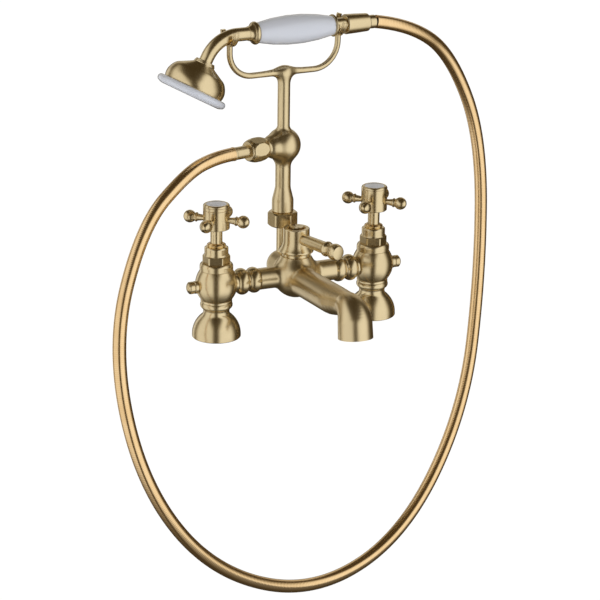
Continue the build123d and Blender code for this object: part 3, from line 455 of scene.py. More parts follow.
def turned(name, outline, where=Matrix.Identity(4), steps=96, size=0.25, closed=False):
    line = outline.eased(size, closed)
    verts, turning, rim, radial, faces, rows = [], [], [], [], [], []
    spin = where.to_3x3()
    for (radius, height), run, edge in zip(line, runsAlong(line), rimOf(line, closed)):
        if radius < 1e-4:
            rows.append([len(verts)] * steps)
            verts.append(where @ Vector((0, 0, height)))
            turning.append((0, 0, run))
            radial.append((0, 0, 0))
            rim.append(0.5)
            continue
        rows.append(list(range(len(verts), len(verts) + steps)))
        for c, s in circle(steps):
            verts.append(where @ Vector((radius * c, radius * s, height)))
            turning.append((c, s, run))
            radial.append(spin @ Vector((c, s, 0)))
            rim.append(edge)
    pairs = list(zip(rows, rows[1:]))
    if closed:
        pairs.append((rows[-1], rows[0]))
    for low, high in pairs:
        for k in range(steps):
            n = (k + 1) % steps
            face = list(dict.fromkeys((low[k], low[n], high[n], high[k])))
            if len(face) > 2:
                faces.append(face)
    return newMesh(name, verts, faces, turning, rim, radial)


hexagonMarks = {"low": (0, 0.5, 0.8, 1.0), "flat": (0.02, 0.06, 0.12, 0.3, 0.5, 0.7, 0.88, 0.94, 0.98, 1.0),
                "high": (0.2, 0.5, 0.8, 1.0)}


def facetted(name, where, flats, turn, outline, bore=None, steps=120, corner=0.25, marks=hexagonMarks):
    # Hexagon whose corners are turned off by an outline that runs from its lower to its upper face
    half = flats / 2
    tip = half / math.cos(math.radians(30))
    line = outline.points
    verts, faces, turning = [], [], []
    for k, (c, s) in enumerate(circle(steps)):
        off = (math.degrees(2 * math.pi * k / steps) - turn) % 60 - 30
        reach = min(half / math.cos(math.radians(off)), tip - corner)
        column = [(reach, line[0][1])] if line[0][0] > reach else []
        for (r1, h1), (r2, h2) in zip(line, line[1:]):
            if r1 <= reach:
                column.append((r1, h1))
            if (r1 <= reach) != (r2 <= reach):
                column.append((reach, h1 + (h2 - h1) * ((reach - r1) / (r2 - r1))))
        column.append(line[-1] if line[-1][0] <= reach else (reach, line[-1][1]))
        # The outline is sampled at the same places on every column, so that rows line up
        runs = runsAlong(column)
        widest = max(point[0] for point in column)
        flat = [run for run, point in zip(runs, column) if abs(point[0] - widest) < 1e-6]
        places = [flat[0] * t for t in marks["low"]]
        places += [flat[0] + (flat[-1] - flat[0]) * t for t in marks["flat"]]
        places += [flat[-1] + (runs[-1] - flat[-1]) * t for t in marks["high"]]
        for mark in places:
            i = 0
            while i < len(runs) - 2 and runs[i + 1] < mark:
                i += 1
            span = runs[i + 1] - runs[i]
            t = 0 if span < 1e-9 else (mark - runs[i]) / span
            r = column[i][0] + (column[i + 1][0] - column[i][0]) * t
            h = column[i][1] + (column[i + 1][1] - column[i][1]) * t
            verts.append(where @ Vector((r * c, r * s, h)))
            turning.append((c * 6, s * 6, h))
    rows = sum(len(part) for part in marks.values())
    around = [(k * rows, (k + 1) % steps * rows) for k in range(steps)]
    for a, b in around:
        faces += [(a + row, b + row, b + row + 1, a + row + 1) for row in range(rows - 1)]
    low, high = line[0][1], line[-1][1]
    if bore is None:
        for end, h in ((0, low), (rows - 1, high)):
            faces += [(a + end, b + end, len(verts)) for a, b in around]
            verts.append(where @ Vector((0, 0, h)))
            turning.append((0, 0, h))
    else:
        start = len(verts)
        for c, s in circle(steps):
            for r, h in ((bore + 0.2, low), (bore, low + 0.2), (bore, high - 0.2), (bore + 0.2, high)):
                verts.append(where @ Vector((r * c, r * s, h)))
                turning.append((c, s, h))
        for k, (outer, nextOuter) in enumerate(around):
            a, b = start + k * 4, start + (k + 1) % steps * 4
            faces.append((outer, nextOuter, b, a))
            faces += [(a + row, b + row, b + row + 1, a + row + 1) for row in range(3)]
            faces.append((a + 3, b + 3, nextOuter + rows - 1, outer + rows - 1))
    return newMesh(name, verts, faces, turning)


def turnedPiece(name, outline, where, body, nodes=(), steps=96, size=0.25, closed=True, **finish):
    return piece(name, turned(name, outline, where, steps, size, closed), body, nodes, **finish)


# Cast forms: a surface at zero distance from blended simple bodies

def softMin(a, b, blend):
    h = np.clip(0.5 + 0.5 * (b - a) / blend, 0, 1)
    return b * (1 - h) + a * h - blend * h * (1 - h)


def ballDistance(p, centre, radius):
    return np.linalg.norm(p - np.array(centre), axis=1) - radius


def rodDistance(p, start, end, radius):
    a, b = np.array(start, float), np.array(end, float)
    t = np.clip(((p - a) @ (b - a)) / ((b - a) @ (b - a)), 0, 1)
    return np.linalg.norm(p - a - t[:, None] * (b - a), axis=1) - radius


def railDistance(p, rail, radii):
    # Distance to a line of points with a radius at each
    rail, radii = np.array(rail, float), np.array(radii, float)
    best = np.full(len(p), 1e9)
    for a, b, ra, rb in zip(rail, rail[1:], radii, radii[1:]):
        t = np.clip(((p - a) @ (b - a)) / max((b - a) @ (b - a), 1e-9), 0, 1)
        d = np.linalg.norm(p - a - t[:, None] * (b - a), axis=1) - (ra + (rb - ra) * t)
        best = np.minimum(best, d)
    return best


def castMesh(name, distance, rods, voxel=0.7):
    # Rough union of balls along rods, remeshed, then settled onto the exact blended surface
    work = bmesh.new()
    for a, b, ra, rb in rods:
        a, b = Vector(a), Vector(b)
        count = max(2, int((b - a).length / (min(ra, rb) * 0.35)) + 1)
        for i in range(count):
            t = i / (count - 1)
            spot = Matrix.Translation((a.lerp(b, t)) * mm)
            bmesh.ops.create_icosphere(work, subdivisions=3, radius=(ra + (rb - ra) * t) * mm, matrix=spot)
    rough = bpy.data.meshes.new(name + "Rough")
    work.to_mesh(rough)
    work.free()
    holder = bpy.data.objects.new(name + "Rough", rough)
    scene.collection.objects.link(holder)
    remesh = holder.modifiers.new("remesh", "REMESH")
    remesh.mode = "VOXEL"
    remesh.voxel_size = voxel * mm
    remesh.adaptivity = 0
    settled = bpy.data.meshes.new_from_object(holder.evaluated_get(bpy.context.evaluated_depsgraph_get()))
    bpy.data.objects.remove(holder)
    bpy.data.meshes.remove(rough)
    co = np.zeros(len(settled.vertices) * 3)
    settled.vertices.foreach_get("co", co)
    p = co.reshape(-1, 3) / mm
    edges = np.zeros(len(settled.edges) * 2, int)
    settled.edges.foreach_get("vertices", edges)
    edges = edges.reshape(-1, 2)
    step = 0.02
    for turn in range(7):
        d = distance(p)
        gradient = np.stack([(distance(p + np.eye(3)[k] * step) - distance(p - np.eye(3)[k] * step)) / (2 * step)
                             for k in range(3)], axis=1)
        size = np.maximum((gradient**2).sum(1), 0.05)
        p = p - gradient * (d / size)[:, None]
        if turn < 5:
            total, number = np.zeros_like(p), np.zeros(len(p))
            for first, second in ((0, 1), (1, 0)):
                np.add.at(total, edges[:, first], p[edges[:, second]])
                np.add.at(number, edges[:, first], 1)
            p = p * 0.4 + total / number[:, None] * 0.6
    settled.vertices.foreach_set("co", (p * mm).ravel())
    settled.name = name
    return settled


def cutFlat(mesh, point, normal, closed=True):
    # Cuts the mesh by a plane, drops what lies in front of it and closes the cut
    work = bmesh.new()
    work.from_mesh(mesh)
    cut = bmesh.ops.bisect_plane(work, geom=work.verts[:] + work.edges[:] + work.faces[:], dist=1e-7,
                                 plane_co=Vector(point) * mm, plane_no=Vector(normal), clear_outer=True)
    if closed:
        loop = [part for part in cut["geom_cut"] if isinstance(part, bmesh.types.BMEdge)]
        bmesh.ops.edgeloop_fill(work, edges=loop)
    work.to_mesh(mesh)
    work.free()
    return mesh


# Hose first: its route from the sleeve on the branch to the ferrule of the handset

hoseValues = {"radius": 7.0, "length": 1.49, "pitch": 2.0, "depth": 0.06, "sides": 24}
hoseRoute = (
    (-63.85, 19.08, 187.5), (-85.19, 13.76, 187.5), (-120, 5, 177), (-175, -10, 131), (-219, -39, 18),
    (-200, -70, -124), (-123, -74, -234), (2, -55, -291), (127, -23, -258), (222, 21, -139),
    (261, 66, 5), (265, 83, 158), (217, 73, 258), (152, 46, 301), (107.54, 42.52, 308.2),
)


def nurbsPath(points):
    curve = bpy.data.curves.new("hoseLine", "CURVE")
    curve.dimensions = "3D"
    curve.resolution_u = 24
    spline = curve.splines.new("NURBS")
    spline.points.add(len(points) - 1)
    for control, point in zip(spline.points, points):
        control.co = (point[0] * mm, point[1] * mm, point[2] * mm, 1)
    spline.order_u = 3
    spline.use_endpoint_u = True
    holder = bpy.data.objects.new("hoseLine", curve)
    scene.collection.objects.link(holder)
    bpy.context.view_layer.update()
    line = bpy.data.meshes.new_from_object(holder.evaluated_get(bpy.context.evaluated_depsgraph_get()))
    bpy.data.objects.remove(holder)
    bpy.data.curves.remove(curve)
    return line


def newTree(name, inputs):
    tree = bpy.data.node_groups.new(name, "GeometryNodeTree")
    tree.interface.new_socket("Geometry", in_out="INPUT", socket_type="NodeSocketGeometry")
    sockets = {}
    for label, (kind, value) in inputs.items():
        socket = tree.interface.new_socket(label, in_out="INPUT", socket_type=kind)
        socket.default_value = value
        sockets[label] = socket.identifier
    tree.interface.new_socket("Geometry", in_out="OUTPUT", socket_type="NodeSocketGeometry")
    maker = Maker(tree)
    source = tree.nodes.new("NodeGroupInput")
    return tree, maker, {socket.name: Wire(maker, socket) for socket in source.outputs if socket.name}, sockets


def closeTree(maker, geometry, material):
    painted = maker.add("GeometryNodeSetMaterial", {}, {"Geometry": geometry, "Material": material})
    maker.add("NodeGroupOutput", {}, {0: painted})


def runTree(name, mesh, tree, sockets, values):
    # Applies a node tree to a mesh and returns the plain mesh that it makes
    holder = bpy.data.objects.new(name, mesh)
    scene.collection.objects.link(holder)
    modifier = holder.modifiers.new("nodes", "NODES")
    modifier.node_group = tree
    for label, value in values.items():
        modifier[sockets[label]] = value
    bpy.context.view_layer.update()
    made = bpy.data.meshes.new_from_object(holder.evaluated_get(bpy.context.evaluated_depsgraph_get()))
    holder.modifiers.remove(modifier)
    bpy.data.objects.remove(holder)
    return made


def ringedTubeTree(material):
    # Sweeps a circle along the line, a little wider on every ring
    tree, maker, given, sockets = newTree("ringedTube", {
        "Radius": ("NodeSocketFloat", 0.007), "Pitch": ("NodeSocketFloat", 0.002),
        "Depth": ("NodeSocketFloat", 0.0001), "Sides": ("NodeSocketInt", 24),
    })
    curve = maker.add("GeometryNodeMeshToCurve", {}, {"Mesh": given["Geometry"]})
    even = maker.add("GeometryNodeResampleCurve", {"mode": "LENGTH"},
                     {"Curve": curve, "Length": given["Pitch"] * 0.25})
    along = maker.add("GeometryNodeSplineParameter", out="Length")
    ring = maker.maths("COSINE", along / given["Pitch"] * (2 * math.pi)) * 0.5 + 0.5
    stored = maker.store(even, "ring", ring)
    profile = maker.add("GeometryNodeCurvePrimitiveCircle", {}, {"Resolution": given["Sides"], "Radius": 1.0})
    tube = maker.add("GeometryNodeCurveToMesh", {}, {
        "Curve": stored, "Profile Curve": profile, "Scale": given["Radius"] - (1 - ring) * given["Depth"],
        "Fill Caps": True,
    })
    closeTree(maker, maker.add("GeometryNodeSetShadeSmooth", {}, {0: tube}), material)
    return tree, sockets


hoseLine = nurbsPath(hoseRoute)
hosePath = [tuple(v.co) for v in hoseLine.vertices]
tubeTree, tubeSockets = ringedTubeTree(hoseSkin)
hoseMesh = runTree("hoseTube", hoseLine, tubeTree, tubeSockets, {
    "Radius": hoseValues["radius"] * mm, "Pitch": hoseValues["pitch"] * mm,
    "Depth": hoseValues["depth"] * mm, "Sides": hoseValues["sides"],
})
hosePiece = piece("showerHose", hoseMesh, "riser", ["hose"], hoseSkin, "hose_skin")
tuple(hosePath[0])
print("hose made,", len(hoseMesh.polygons), "faces")


# Camera, floor and light

cameraValues = {
    "azimuth": -25.0, "pitch": 19.03, "roll": 0.813, "lens": 125.197, "position": (-0.87356, -1.88491, 0.74392),
}


def addCamera(values=cameraValues):
    a, e, r = (math.radians(values[key]) for key in ("azimuth", "pitch", "roll"))
    forward = Vector((-math.sin(a) * math.cos(e), math.cos(a) * math.cos(e), -math.sin(e)))
    right = Vector((math.cos(a), math.sin(a), 0))
    top = right.cross(forward)
    x = right * math.cos(r) + top * math.sin(r)
    y = top * math.cos(r) - right * math.sin(r)
    camera = bpy.data.cameras.new("camera")
    camera.sensor_width = 36
    camera.lens = values["lens"]
    camera.clip_end = 50
    holder = bpy.data.objects.new("camera", camera)
    scene.collection.objects.link(holder)
    holder.matrix_world = axes(x, y, -forward, values["position"])
    scene.camera = holder


# Angles round the object and above it in degrees, "camera" being the camera's own direction
studio = {
    "camera": -114.9, "ceiling": (38, 3), "below": (-82, -28), "diffuse": 1.36,
    "boxes": ({"level": 1.0, "from": (8, 22), "to": (106, 74)}, {"level": 0.9, "from": (-7, -20), "to": (-124, -90)}),
    "flank": {"level": 0.85, "from": (-118, -132), "to": (-160, -142), "ceiling": (24, 8), "below": (-50, -30)},
    "sides": {"lateral": (14, 46), "lift": 33.0, "swing": 0.25, "top": (20, 70), "topLevel": 0.14},
    "back": {"level": 0.6, "from": (138, 162), "below": (-2, 8), "ceiling": (48, 30)},
    "tones": (
        (0.0, (0.058, 0.042, 0.020, 1)), (0.35, (0.35, 0.31, 0.235, 1)),
        (0.8, (0.75, 0.735, 0.705, 1)), (1.0, (1.02, 1.02, 1.01, 1)),
    ),
}


def addStudio(values=studio):
    # Two tall soft boxes with a dark gap between them, dark above, below and behind; the camera itself sees white
    scene.world, maker = emptyNodes(bpy.data.worlds.new("studio"))
    direction = maker.add("ShaderNodeTexCoord", out="Generated")
    split = maker.add("ShaderNodeSeparateXYZ", {}, {0: direction}).socket.node
    x, y, z = (Wire(maker, split.outputs[k]) for k in range(3))
    turn = math.radians(values["camera"])
    ahead = x * math.cos(turn) + y * math.sin(turn)
    aside = y * math.cos(turn) - x * math.sin(turn)
    around = maker.maths("ARCTAN2", aside, ahead) * (180 / math.pi)
    height = maker.maths("ARCSINE", z) * (180 / math.pi)
    # The boxes reach higher away from the camera's own plane, and further back as they rise
    sides = values["sides"]
    lateral = maker.maths("ABSOLUTE", maker.maths("ARCSINE", aside) * (180 / math.pi))
    raised = height - maker.smooth(lateral, *sides["lateral"]) * sides["lift"]
    swung = around * (maker.smooth(height, 5, 60) * -sides["swing"] + 1)
    tone = 0.0
    for box in values["boxes"]:
        tone = maker.smooth(around, *box["from"]) * maker.smooth(swung, *box["to"]) * box["level"] + tone
    tone = tone * maker.smooth(raised, *values["ceiling"]) * maker.smooth(height, *values["below"])
    back, flank = values["back"], values["flank"]
    behind = maker.smooth(maker.maths("ABSOLUTE", around), *back["from"])
    behind = behind * maker.smooth(height, *back["below"]) * maker.smooth(height, *back["ceiling"])
    low = maker.smooth(around, *flank["from"]) * maker.smooth(around, *flank["to"])
    low = low * maker.smooth(height, *flank["ceiling"]) * maker.smooth(height, *flank["below"])
    tone = tone + behind * back["level"] + low * flank["level"]
    diffuseRay = maker.ray("Diffuse")
    tone = tone + diffuseRay * maker.smooth(height, *sides["top"]) * sides["topLevel"]
    colour = maker.add("ShaderNodeValToRGB", {"stops": values["tones"]}, {0: tone})
    strength = diffuseRay * (values["diffuse"] - 1) + 1
    light = maker.add("ShaderNodeBackground", {}, {"Color": colour, "Strength": strength})
    white = maker.add("ShaderNodeBackground", {}, {"Color": (1, 1, 1, 1), "Strength": 1.0})
    maker.add("ShaderNodeOutputWorld", {}, {"Surface": maker.mixShader(maker.ray("Camera"), light, white)})


floorValues = {
    "height": -0.3005, "half": 8.0, "dim": (0.22, 0.75), "cloth": (0.9, 0.9, 0.9, 1), "glow": 1.26,
    "glowShare": 0.75, "shade": (0.06, 0.05, 0.035, 1),
}


def addFloor(values=floorValues):
    # Pale to the camera; in reflections a painted shadow makes it dim under the object, and it gives way to the studio
    # further out
    floor = bpy.data.meshes.new("floor")
    half = values["half"]
    corners = [(x, y, values["height"]) for x, y in ((-half, -half), (half, -half), (half, half), (-half, half))]
    floor.from_pydata(corners, [], [(0, 1, 2, 3)])
    holder = bpy.data.objects.new("floor", floor)
    scene.collection.objects.link(holder)
    material, maker = emptyNodes(bpy.data.materials.new("paleFloor"))
    distance = maker.vector("LENGTH", maker.where(), out="Value")
    cloth = maker.add("ShaderNodeBsdfDiffuse", {}, {"Color": values["cloth"]})
    glow = maker.add("ShaderNodeEmission", {}, {"Color": (1, 1, 1, 1), "Strength": values["glow"]})
    # Painted shadow: a dark glow that glossy rays see on the floor close to the object
    shade = maker.add("ShaderNodeEmission", {}, {"Color": values["shade"], "Strength": 1.0})
    clear = maker.add("ShaderNodeBsdfTransparent", {}, {"Color": (1, 1, 1, 1)})
    plain = maker.mixShader(maker.ray("Camera") * values["glowShare"], cloth, glow)
    mirrored = maker.mixShader(maker.smooth(distance, *values["dim"]), shade, clear)
    seen = maker.mixShader(maker.ray("Glossy"), plain, mirrored)
    maker.add("ShaderNodeOutputMaterial", {}, {"Surface": maker.mixShader(maker.ray("Diffuse"), seen, clear)})
    floor.materials.append(material)


addCamera()
addStudio()
addFloor()
print("camera and studio made")


# Pillars

pillarValues = {
    "spacing": 90.0, "foot": 25.4, "ball": 21.9, "bridge": 56.0, "top": 80.0, "hexagon": 25.2, "turn": -25.0,
}
sides = ((-1, "hot"), (1, "cold"))


def pillarOutline(values=pillarValues):
    foot, ball, top = values["foot"], values["ball"], values["top"]
    line = Outline(12.1, 0).to((foot - 0.7, 0), (foot, 0.7), (foot, 3.0))
    line.arc((22.5, 14.9), (15.3, 23.7)).arc((14.1, 25.3), (13.6, 27.4)).arc((13.9, 29.6), (15.3, 31.6))
    line.arc((16.9, 34.6), (16.0, 37.4)).to((15.5, 37.8), (16.4, 38.3), (16.4, 39.8), (15.7, 40.5))
    line.arc((ball, values["bridge"]), (17.0, 72.0)).to((16.6, 72.5), (17.3, 73.0), (17.3, 76.6))
    line.arc((16.7, 78.7), (15.0, top)).to((11.0, top), (11.0, 44.0), (7.5, 44.0), (7.5, 14.0), (12.1, 14.0))
    return line.to((12.1, 0))


def headworkMeshes(where, values=pillarValues):
    bonnet = Outline(0, 80.5).to((12.3, 80.5), (12.3, 87.8), (13.1, 88.6)).arc((12.6, 89.5), (12.35, 90.8))
    bonnet.to((12.35, 96.4), (11.05, 97.6), (0, 97.6))
    nut = Outline(13.4, 80.0).to((14.6, 80.8), (14.6, 87.5), (13.0, 88.8))
    return [turned("bonnet", bonnet, where), facetted("hexagon", where, values["hexagon"], values["turn"], nut)]


def plugOutline():
    line = Outline(0, 13.8).to((3.9, 13.8), (3.9, 20.4), (5.9, 20.4), (5.9, 21.2), (6.6, 21.8), (6.6, 24.6))
    line.to((5.7, 25.0), (5.7, 25.6), (6.4, 26.0), (6.4, 30.0)).arc((3.3, 32.3), (0, 33.0))
    return line


ringLine = Outline(6.5, 97.6).to((9.0, 97.6), (9.4, 97.95), (9.4, 98.35), (9.0, 98.7), (6.5, 98.7), (6.5, 97.6))
glandLine = Outline(4.45, 98.7).to((8.9, 98.7), (9.7, 99.3), (9.7, 99.9), (7.5, 101.4), (6.6, 101.4), (6.6, 99.8))
glandLine.to((4.45, 99.8), (4.45, 98.7))
plugs, rings, glands = [], [], []
for side, label in sides:
    x = side * pillarValues["spacing"]
    turnedPiece(label + "Pillar", pillarOutline(), place((x, 0, 0)), "tap_body", [label + "_pillar"], 128, 0.3)
    headwork = joined(label + "Headwork", headworkMeshes(place((x, 0, 0))))
    piece(label + "Headwork", headwork, "tap_body", [label + "_headwork"])
    plugs.append(turned("plug", plugOutline(), place((x, 0, pillarValues["bridge"]), (side, 0, 0))))
    rings.append(turned("ring", ringLine, place((x, 0, 0)), closed=True, size=0.15))
    glands.append(turned("gland", glandLine, place((x, 0, 0)), closed=True, size=0.15))
piece("plugScrews", joined("plugScrews", plugs), "tap_body", ["plug_screws"])
piece("brightRings", joined("brightRings", rings), "tap_body", ["polished_rings"], brightBrass, "polished_brass")
piece("glandRings", joined("glandRings", glands), "tap_body", ["gland_rings"], copperyBrass, "aged_brass")
print("pillars made")


# Crosshead handles

handleValues = {
    "hub": 13.7, "bottom": 116.5, "top": 143.0, "arms": 4, "armHeight": 126.6, "ball": 6.6, "reach": 29.1,
    "hot": {"grooves": (136.8, 140.2), "heading": -43.5}, "cold": {"grooves": (140.2,), "heading": -45.4},
}


def hubOutline(grooves, values=handleValues):
    r, bottom, top = values["hub"], values["bottom"], values["top"]
    line = Outline(0, bottom).to((r - 1.2, bottom)).arc((r - 0.35, bottom + 0.35), (r, bottom + 1.2))
    for height in grooves:
        line.to((r, height), (r - 0.35, height + 0.12), (r - 0.35, height + 0.48), (r, height + 0.6))
    line.to((r, 140.9)).arc((13.1, 142.2), (11.4, top))
    return line.to((10.5, top), (10.5, 141.2), (6.0, 141.2), (6.0, 132.0), (0, 132.0))


def onBall(values, degrees):
    angle = math.radians(degrees)
    return (values["ball"] * math.sin(angle), values["reach"] + values["ball"] * math.cos(angle))


def armOutline(values=handleValues):
    line = Outline(0, 8.6).to((2.4, 8.6), (2.4, 13.2), (2.8, 13.2), (3.7, 19.8), (3.7, 20.6), (4.9, 21.3), (4.9, 22.0))
    line.arc((4.3, 22.9), onBall(values, 137)).arc(onBall(values, 60), (0, values["reach"] + values["ball"]))
    return line


def armsTree():
    # Sets a turned arm on the points of a circle, each turned outwards
    tree, maker, given, sockets = newTree("crossArms", {
        "Arms": ("NodeSocketInt", 4), "Heading": ("NodeSocketFloat", 0.0),
        "Centre": ("NodeSocketVector", (0.0, 0.0, 0.0)), "Material": ("NodeSocketMaterial", None),
    })
    ring = maker.add("GeometryNodeMeshCircle", {}, {"Vertices": given["Arms"], "Radius": 0.001})
    angle = maker.add("GeometryNodeInputIndex") * (2 * math.pi) / given["Arms"] + given["Heading"]
    home = maker.add("GeometryNodeSetPosition", {}, {"Geometry": ring, "Position": given["Centre"]})
    marked = maker.store(home, "heading", angle)
    arms = maker.add("GeometryNodeInstanceOnPoints", {}, {"Points": marked, "Instance": given["Geometry"]})
    spin = maker.add("ShaderNodeCombineXYZ", {}, {"Y": math.pi / 2, "Z": angle})
    arms = maker.add("GeometryNodeRotateInstances", {}, {"Instances": arms, "Rotation": spin})
    real = maker.add("GeometryNodeRealizeInstances", {}, {0: arms})
    # The radii that each arm carries for its shading turn with it
    turn = maker.add("ShaderNodeCombineXYZ", {}, {"Y": math.pi / 2, "Z": maker.named("heading")})
    swung = maker.add("ShaderNodeVectorRotate", {"rotation_type": "EULER_XYZ"},
                      {"Vector": maker.named("radial", "FLOAT_VECTOR"), "Rotation": turn})
    closeTree(maker, maker.store(real, "radial", swung, "FLOAT_VECTOR"), given["Material"])
    return tree, sockets


crossTree, crossSockets = armsTree()
for side, label in sides:
    x, values, body = side * pillarValues["spacing"], handleValues[label], label + "_handle"
    turnedPiece(label + "Hub", hubOutline(values["grooves"]), place((x, 0, 0)), body, [label + "_hub"], closed=False)
    arm = turned("arm", armOutline(), steps=64, size=0.2)
    cross = runTree("cross", arm, crossTree, crossSockets, {
        "Arms": handleValues["arms"], "Heading": math.radians(values["heading"]),
        "Centre": (x * mm, 0.0, handleValues["armHeight"] * mm), "Material": turnedBrass,
    })
    piece(label + "Wings", cross, body, [label + "_wings"])
    disc = Outline(0, 141.3).to((10.4, 141.3), (10.4, 142.9)).arc((5.2, 143.88), (0, 144.2))
    turnedPiece(label + "IndexDisc", disc, place((x, 0, 0)), body, [label + "_index_disc"], 96, 0.2, False,
                material=glaze, slot="white_disc")
    sleeve = Outline(4.42, 100.1).to((6.2, 100.1), (6.2, 116.5), (4.42, 116.5), (4.42, 100.1))
    turnedPiece(label + "StemSleeve", sleeve, place((x, 0, 0)), body, [label + "_stem_sleeve"], 64, 0.15)
print("handles made")


# Bridge, cast in one look with its spout

bridgeValues = {
    "bulb": 24.3, "arm": 11.25, "armEnd": 43.0, "boss": 16.4, "rear": 35.0, "neck": 14.2, "top": 77.0,
    "fillets": {"arms": 5.0, "boss": 4.0, "neck": 7.5, "spout": 5.0},
}
spoutValues = {
    "bend": (-121.5, 46.5), "turn": 82, "start": (15.4, 12.6), "end": (20.2, 17.3), "mouth": (-143.5, 33.2, 17.7),
}
bridgeHeight = pillarValues["bridge"]


def spoutSections(values=spoutValues):
    # Height and radius along y: a run that narrows from below as it comes to the bend, then the bend
    sections = [(-15.0, 53.0, 15.3), (-60.0, 55.5, 15.4), (-88.0, 57.0, 15.5)]
    for step in range(1, 6):
        ease = (step / 6) ** 2 * (3 - step / 3)
        sections.append((-88.0 - 33.5 * step / 6, 57.0 + 1.9 * step / 6 + 3.0 * ease, 15.5 - 2.9 * ease))
    (y, z), (reach1, radius1), (reach2, radius2) = values["bend"], values["start"], values["end"]
    for step in range(17):
        t, slope = step / 16, math.radians(step * values["turn"] / 16)
        reach, radius = reach1 + (reach2 - reach1) * t ** 1.3, radius1 + (radius2 - radius1) * t ** 1.15
        sections.append((y - reach * math.sin(slope), z + reach * math.cos(slope), radius))
    return sections + [values["mouth"]]


sections = spoutSections()
mouthSlope = math.radians(spoutValues["turn"])
mouthAxis = Vector((0, -math.cos(mouthSlope), -math.sin(mouthSlope)))
mouthCentre = Vector((0, *spoutValues["mouth"][:2]))
beyond = mouthCentre + mouthAxis * 6
spoutRail = [(0, y, z) for y, z, r in sections] + [tuple(beyond)]
spoutRadii = [r for y, z, r in sections] + [17.75]


def bridgeDistance(p, values=bridgeValues):
    h, fillets = bridgeHeight, values["fillets"]
    bulb = ballDistance(p, (0, 0, h), values["bulb"])
    arms = rodDistance(p, (-55, 0, h), (55, 0, h), values["arm"])
    boss = rodDistance(p, (0, 8, h), (0, values["rear"], h), values["boss"])
    neck = rodDistance(p, (0, 0, h), (0, 0, 90), values["neck"])
    shape = softMin(bulb, arms, fillets["arms"])
    shape = softMin(shape, boss, fillets["boss"])
    shape = softMin(shape, neck, fillets["neck"])
    return softMin(shape, railDistance(p, spoutRail, spoutRadii), fillets["spout"])


rods = [
    ((0, 0, 56), (0, 0, 56.1), 24.0, 24.0), ((-55, 0, 56), (55, 0, 56), 11.1, 11.1),
    ((0, 8, 56), (0, 35, 56), 16.2, 16.2), ((0, 0, 56), (0, 0, 90), 14.0, 14.0),
]
for (y1, z1, r1), (y2, z2, r2) in zip(sections, sections[1:]):
    rods.append(((0, y1, z1), (0, y2, z2), r1 - 0.2, r2 - 0.2))
rods.append((tuple(mouthCentre), tuple(beyond), 17.5, 17.5))
bridge = castMesh("bridgeCasting", bridgeDistance, rods)
cutFlat(bridge, mouthCentre, mouthAxis, False)
cutFlat(bridge, (0, 0, bridgeValues["top"]), (0, 0, 1))
for side, label in sides:
    cutFlat(bridge, (side * bridgeValues["armEnd"], 0, bridgeHeight), (side, 0, 0))
piece("bridgeAndSpout", bridge, "tap_body", ["bridge_body", "spout"], castBrass)
lip = Outline(17.7, -0.02).arc((17.5, 0.33), (17.1, 0.4)).to((14.0, 0.4)).arc((13.7, 0.25), (13.6, 0))
lip.to((13.6, -6.0), (13.0, -6.1), (13.0, -12.0), (12.0, -12.0))
turnedPiece("spoutLip", lip, place(mouthCentre - mouthAxis * 0.42, mouthAxis), "tap_body", (), 128, 0.1, False)
bead = Outline(10.0, 76.6).to((14.2, 76.6), (14.2, 76.9), (14.75, 77.3), (14.75, 79.8), (14.2, 80.3), (5.1, 80.3))
bead.to((5.1, 76.6), (10.0, 76.6))
turnedPiece("neckBead", bead, place((0, 0, 0)), "tap_body", ["diverter_sleeve"], 96, 0.2)

tail = Outline(5.5, 42.8).to((10.6, 42.8), (11.0, 43.2)).arc((13.6, 48.6), (10.8, 54.2)).arc((10.2, 55.4), (10.9, 56.6))
tail.arc((14.0, 62.3), (10.8, 67.8)).arc((10.3, 68.5), (10.1, 69.4)).to((10.1, 70.7), (5.5, 70.7), (5.5, 42.8))
for side, label in sides:
    where = place((0, 0, bridgeHeight), (side, 0, 0))
    turnedPiece(label + "BridgeTail", tail, where, "tap_body", [label + "_bridge_tail"], 96, 0.2)
print("bridge made")


# Diverter

leverValues = {"height": 97.0, "heading": -76.7, "reach": 64.6, "ball": 8.7}
capValues = {"hexagon": 13.8, "turn": -25.0}


def leverOutline(values=leverValues):
    line = Outline(0, 9.2).to((3.0, 9.2), (3.0, 12.0), (5.9, 12.0), (6.5, 48.6), (7.0, 49.4))
    line.arc((8.0, 51.6), (6.9, 53.8)).arc((6.0, 55.4), onBall(values, 140)).arc(onBall(values, 95), onBall(values, 52))
    # The end of the ball is all but flat
    face = onBall(values, 52)[1]
    return line.arc((3.5, face + 0.45), (0, face + 0.6))


barrel = Outline(5.1, 83.6).to((15.2, 83.6), (15.2, 80.8), (16.6, 80.8)).arc((18.3, 82.4), (17.9, 84.2))
barrel.arc((15.2, 88.4), (14.0, 93.5)).to((14.0, 106.4), (13.4, 107.0), (9.8, 107.0), (9.8, 104.2), (5.1, 104.2))
turnedPiece("diverterBarrel", barrel.to((5.1, 83.6)), place((0, 0, 0)), "diverter", ["diverter_handle"], 112)
where = place((0, 0, leverValues["height"]), level(leverValues["heading"]))
turnedPiece("diverterLever", leverOutline(), where, "diverter", ["diverter_lever"], 72, 0.2, False)
capLine = Outline(7.6, 104.1).to((8.1, 104.2), (8.1, 107.6), (7.2, 108.3))
cap = facetted("diverterCap", place((0, 0, 0)), capValues["hexagon"], capValues["turn"], capLine, None, 96, 0.2)
piece("diverterCap", cap, "diverter", ["diverter_cap"])
print("diverter made")


# Riser, tee and branch

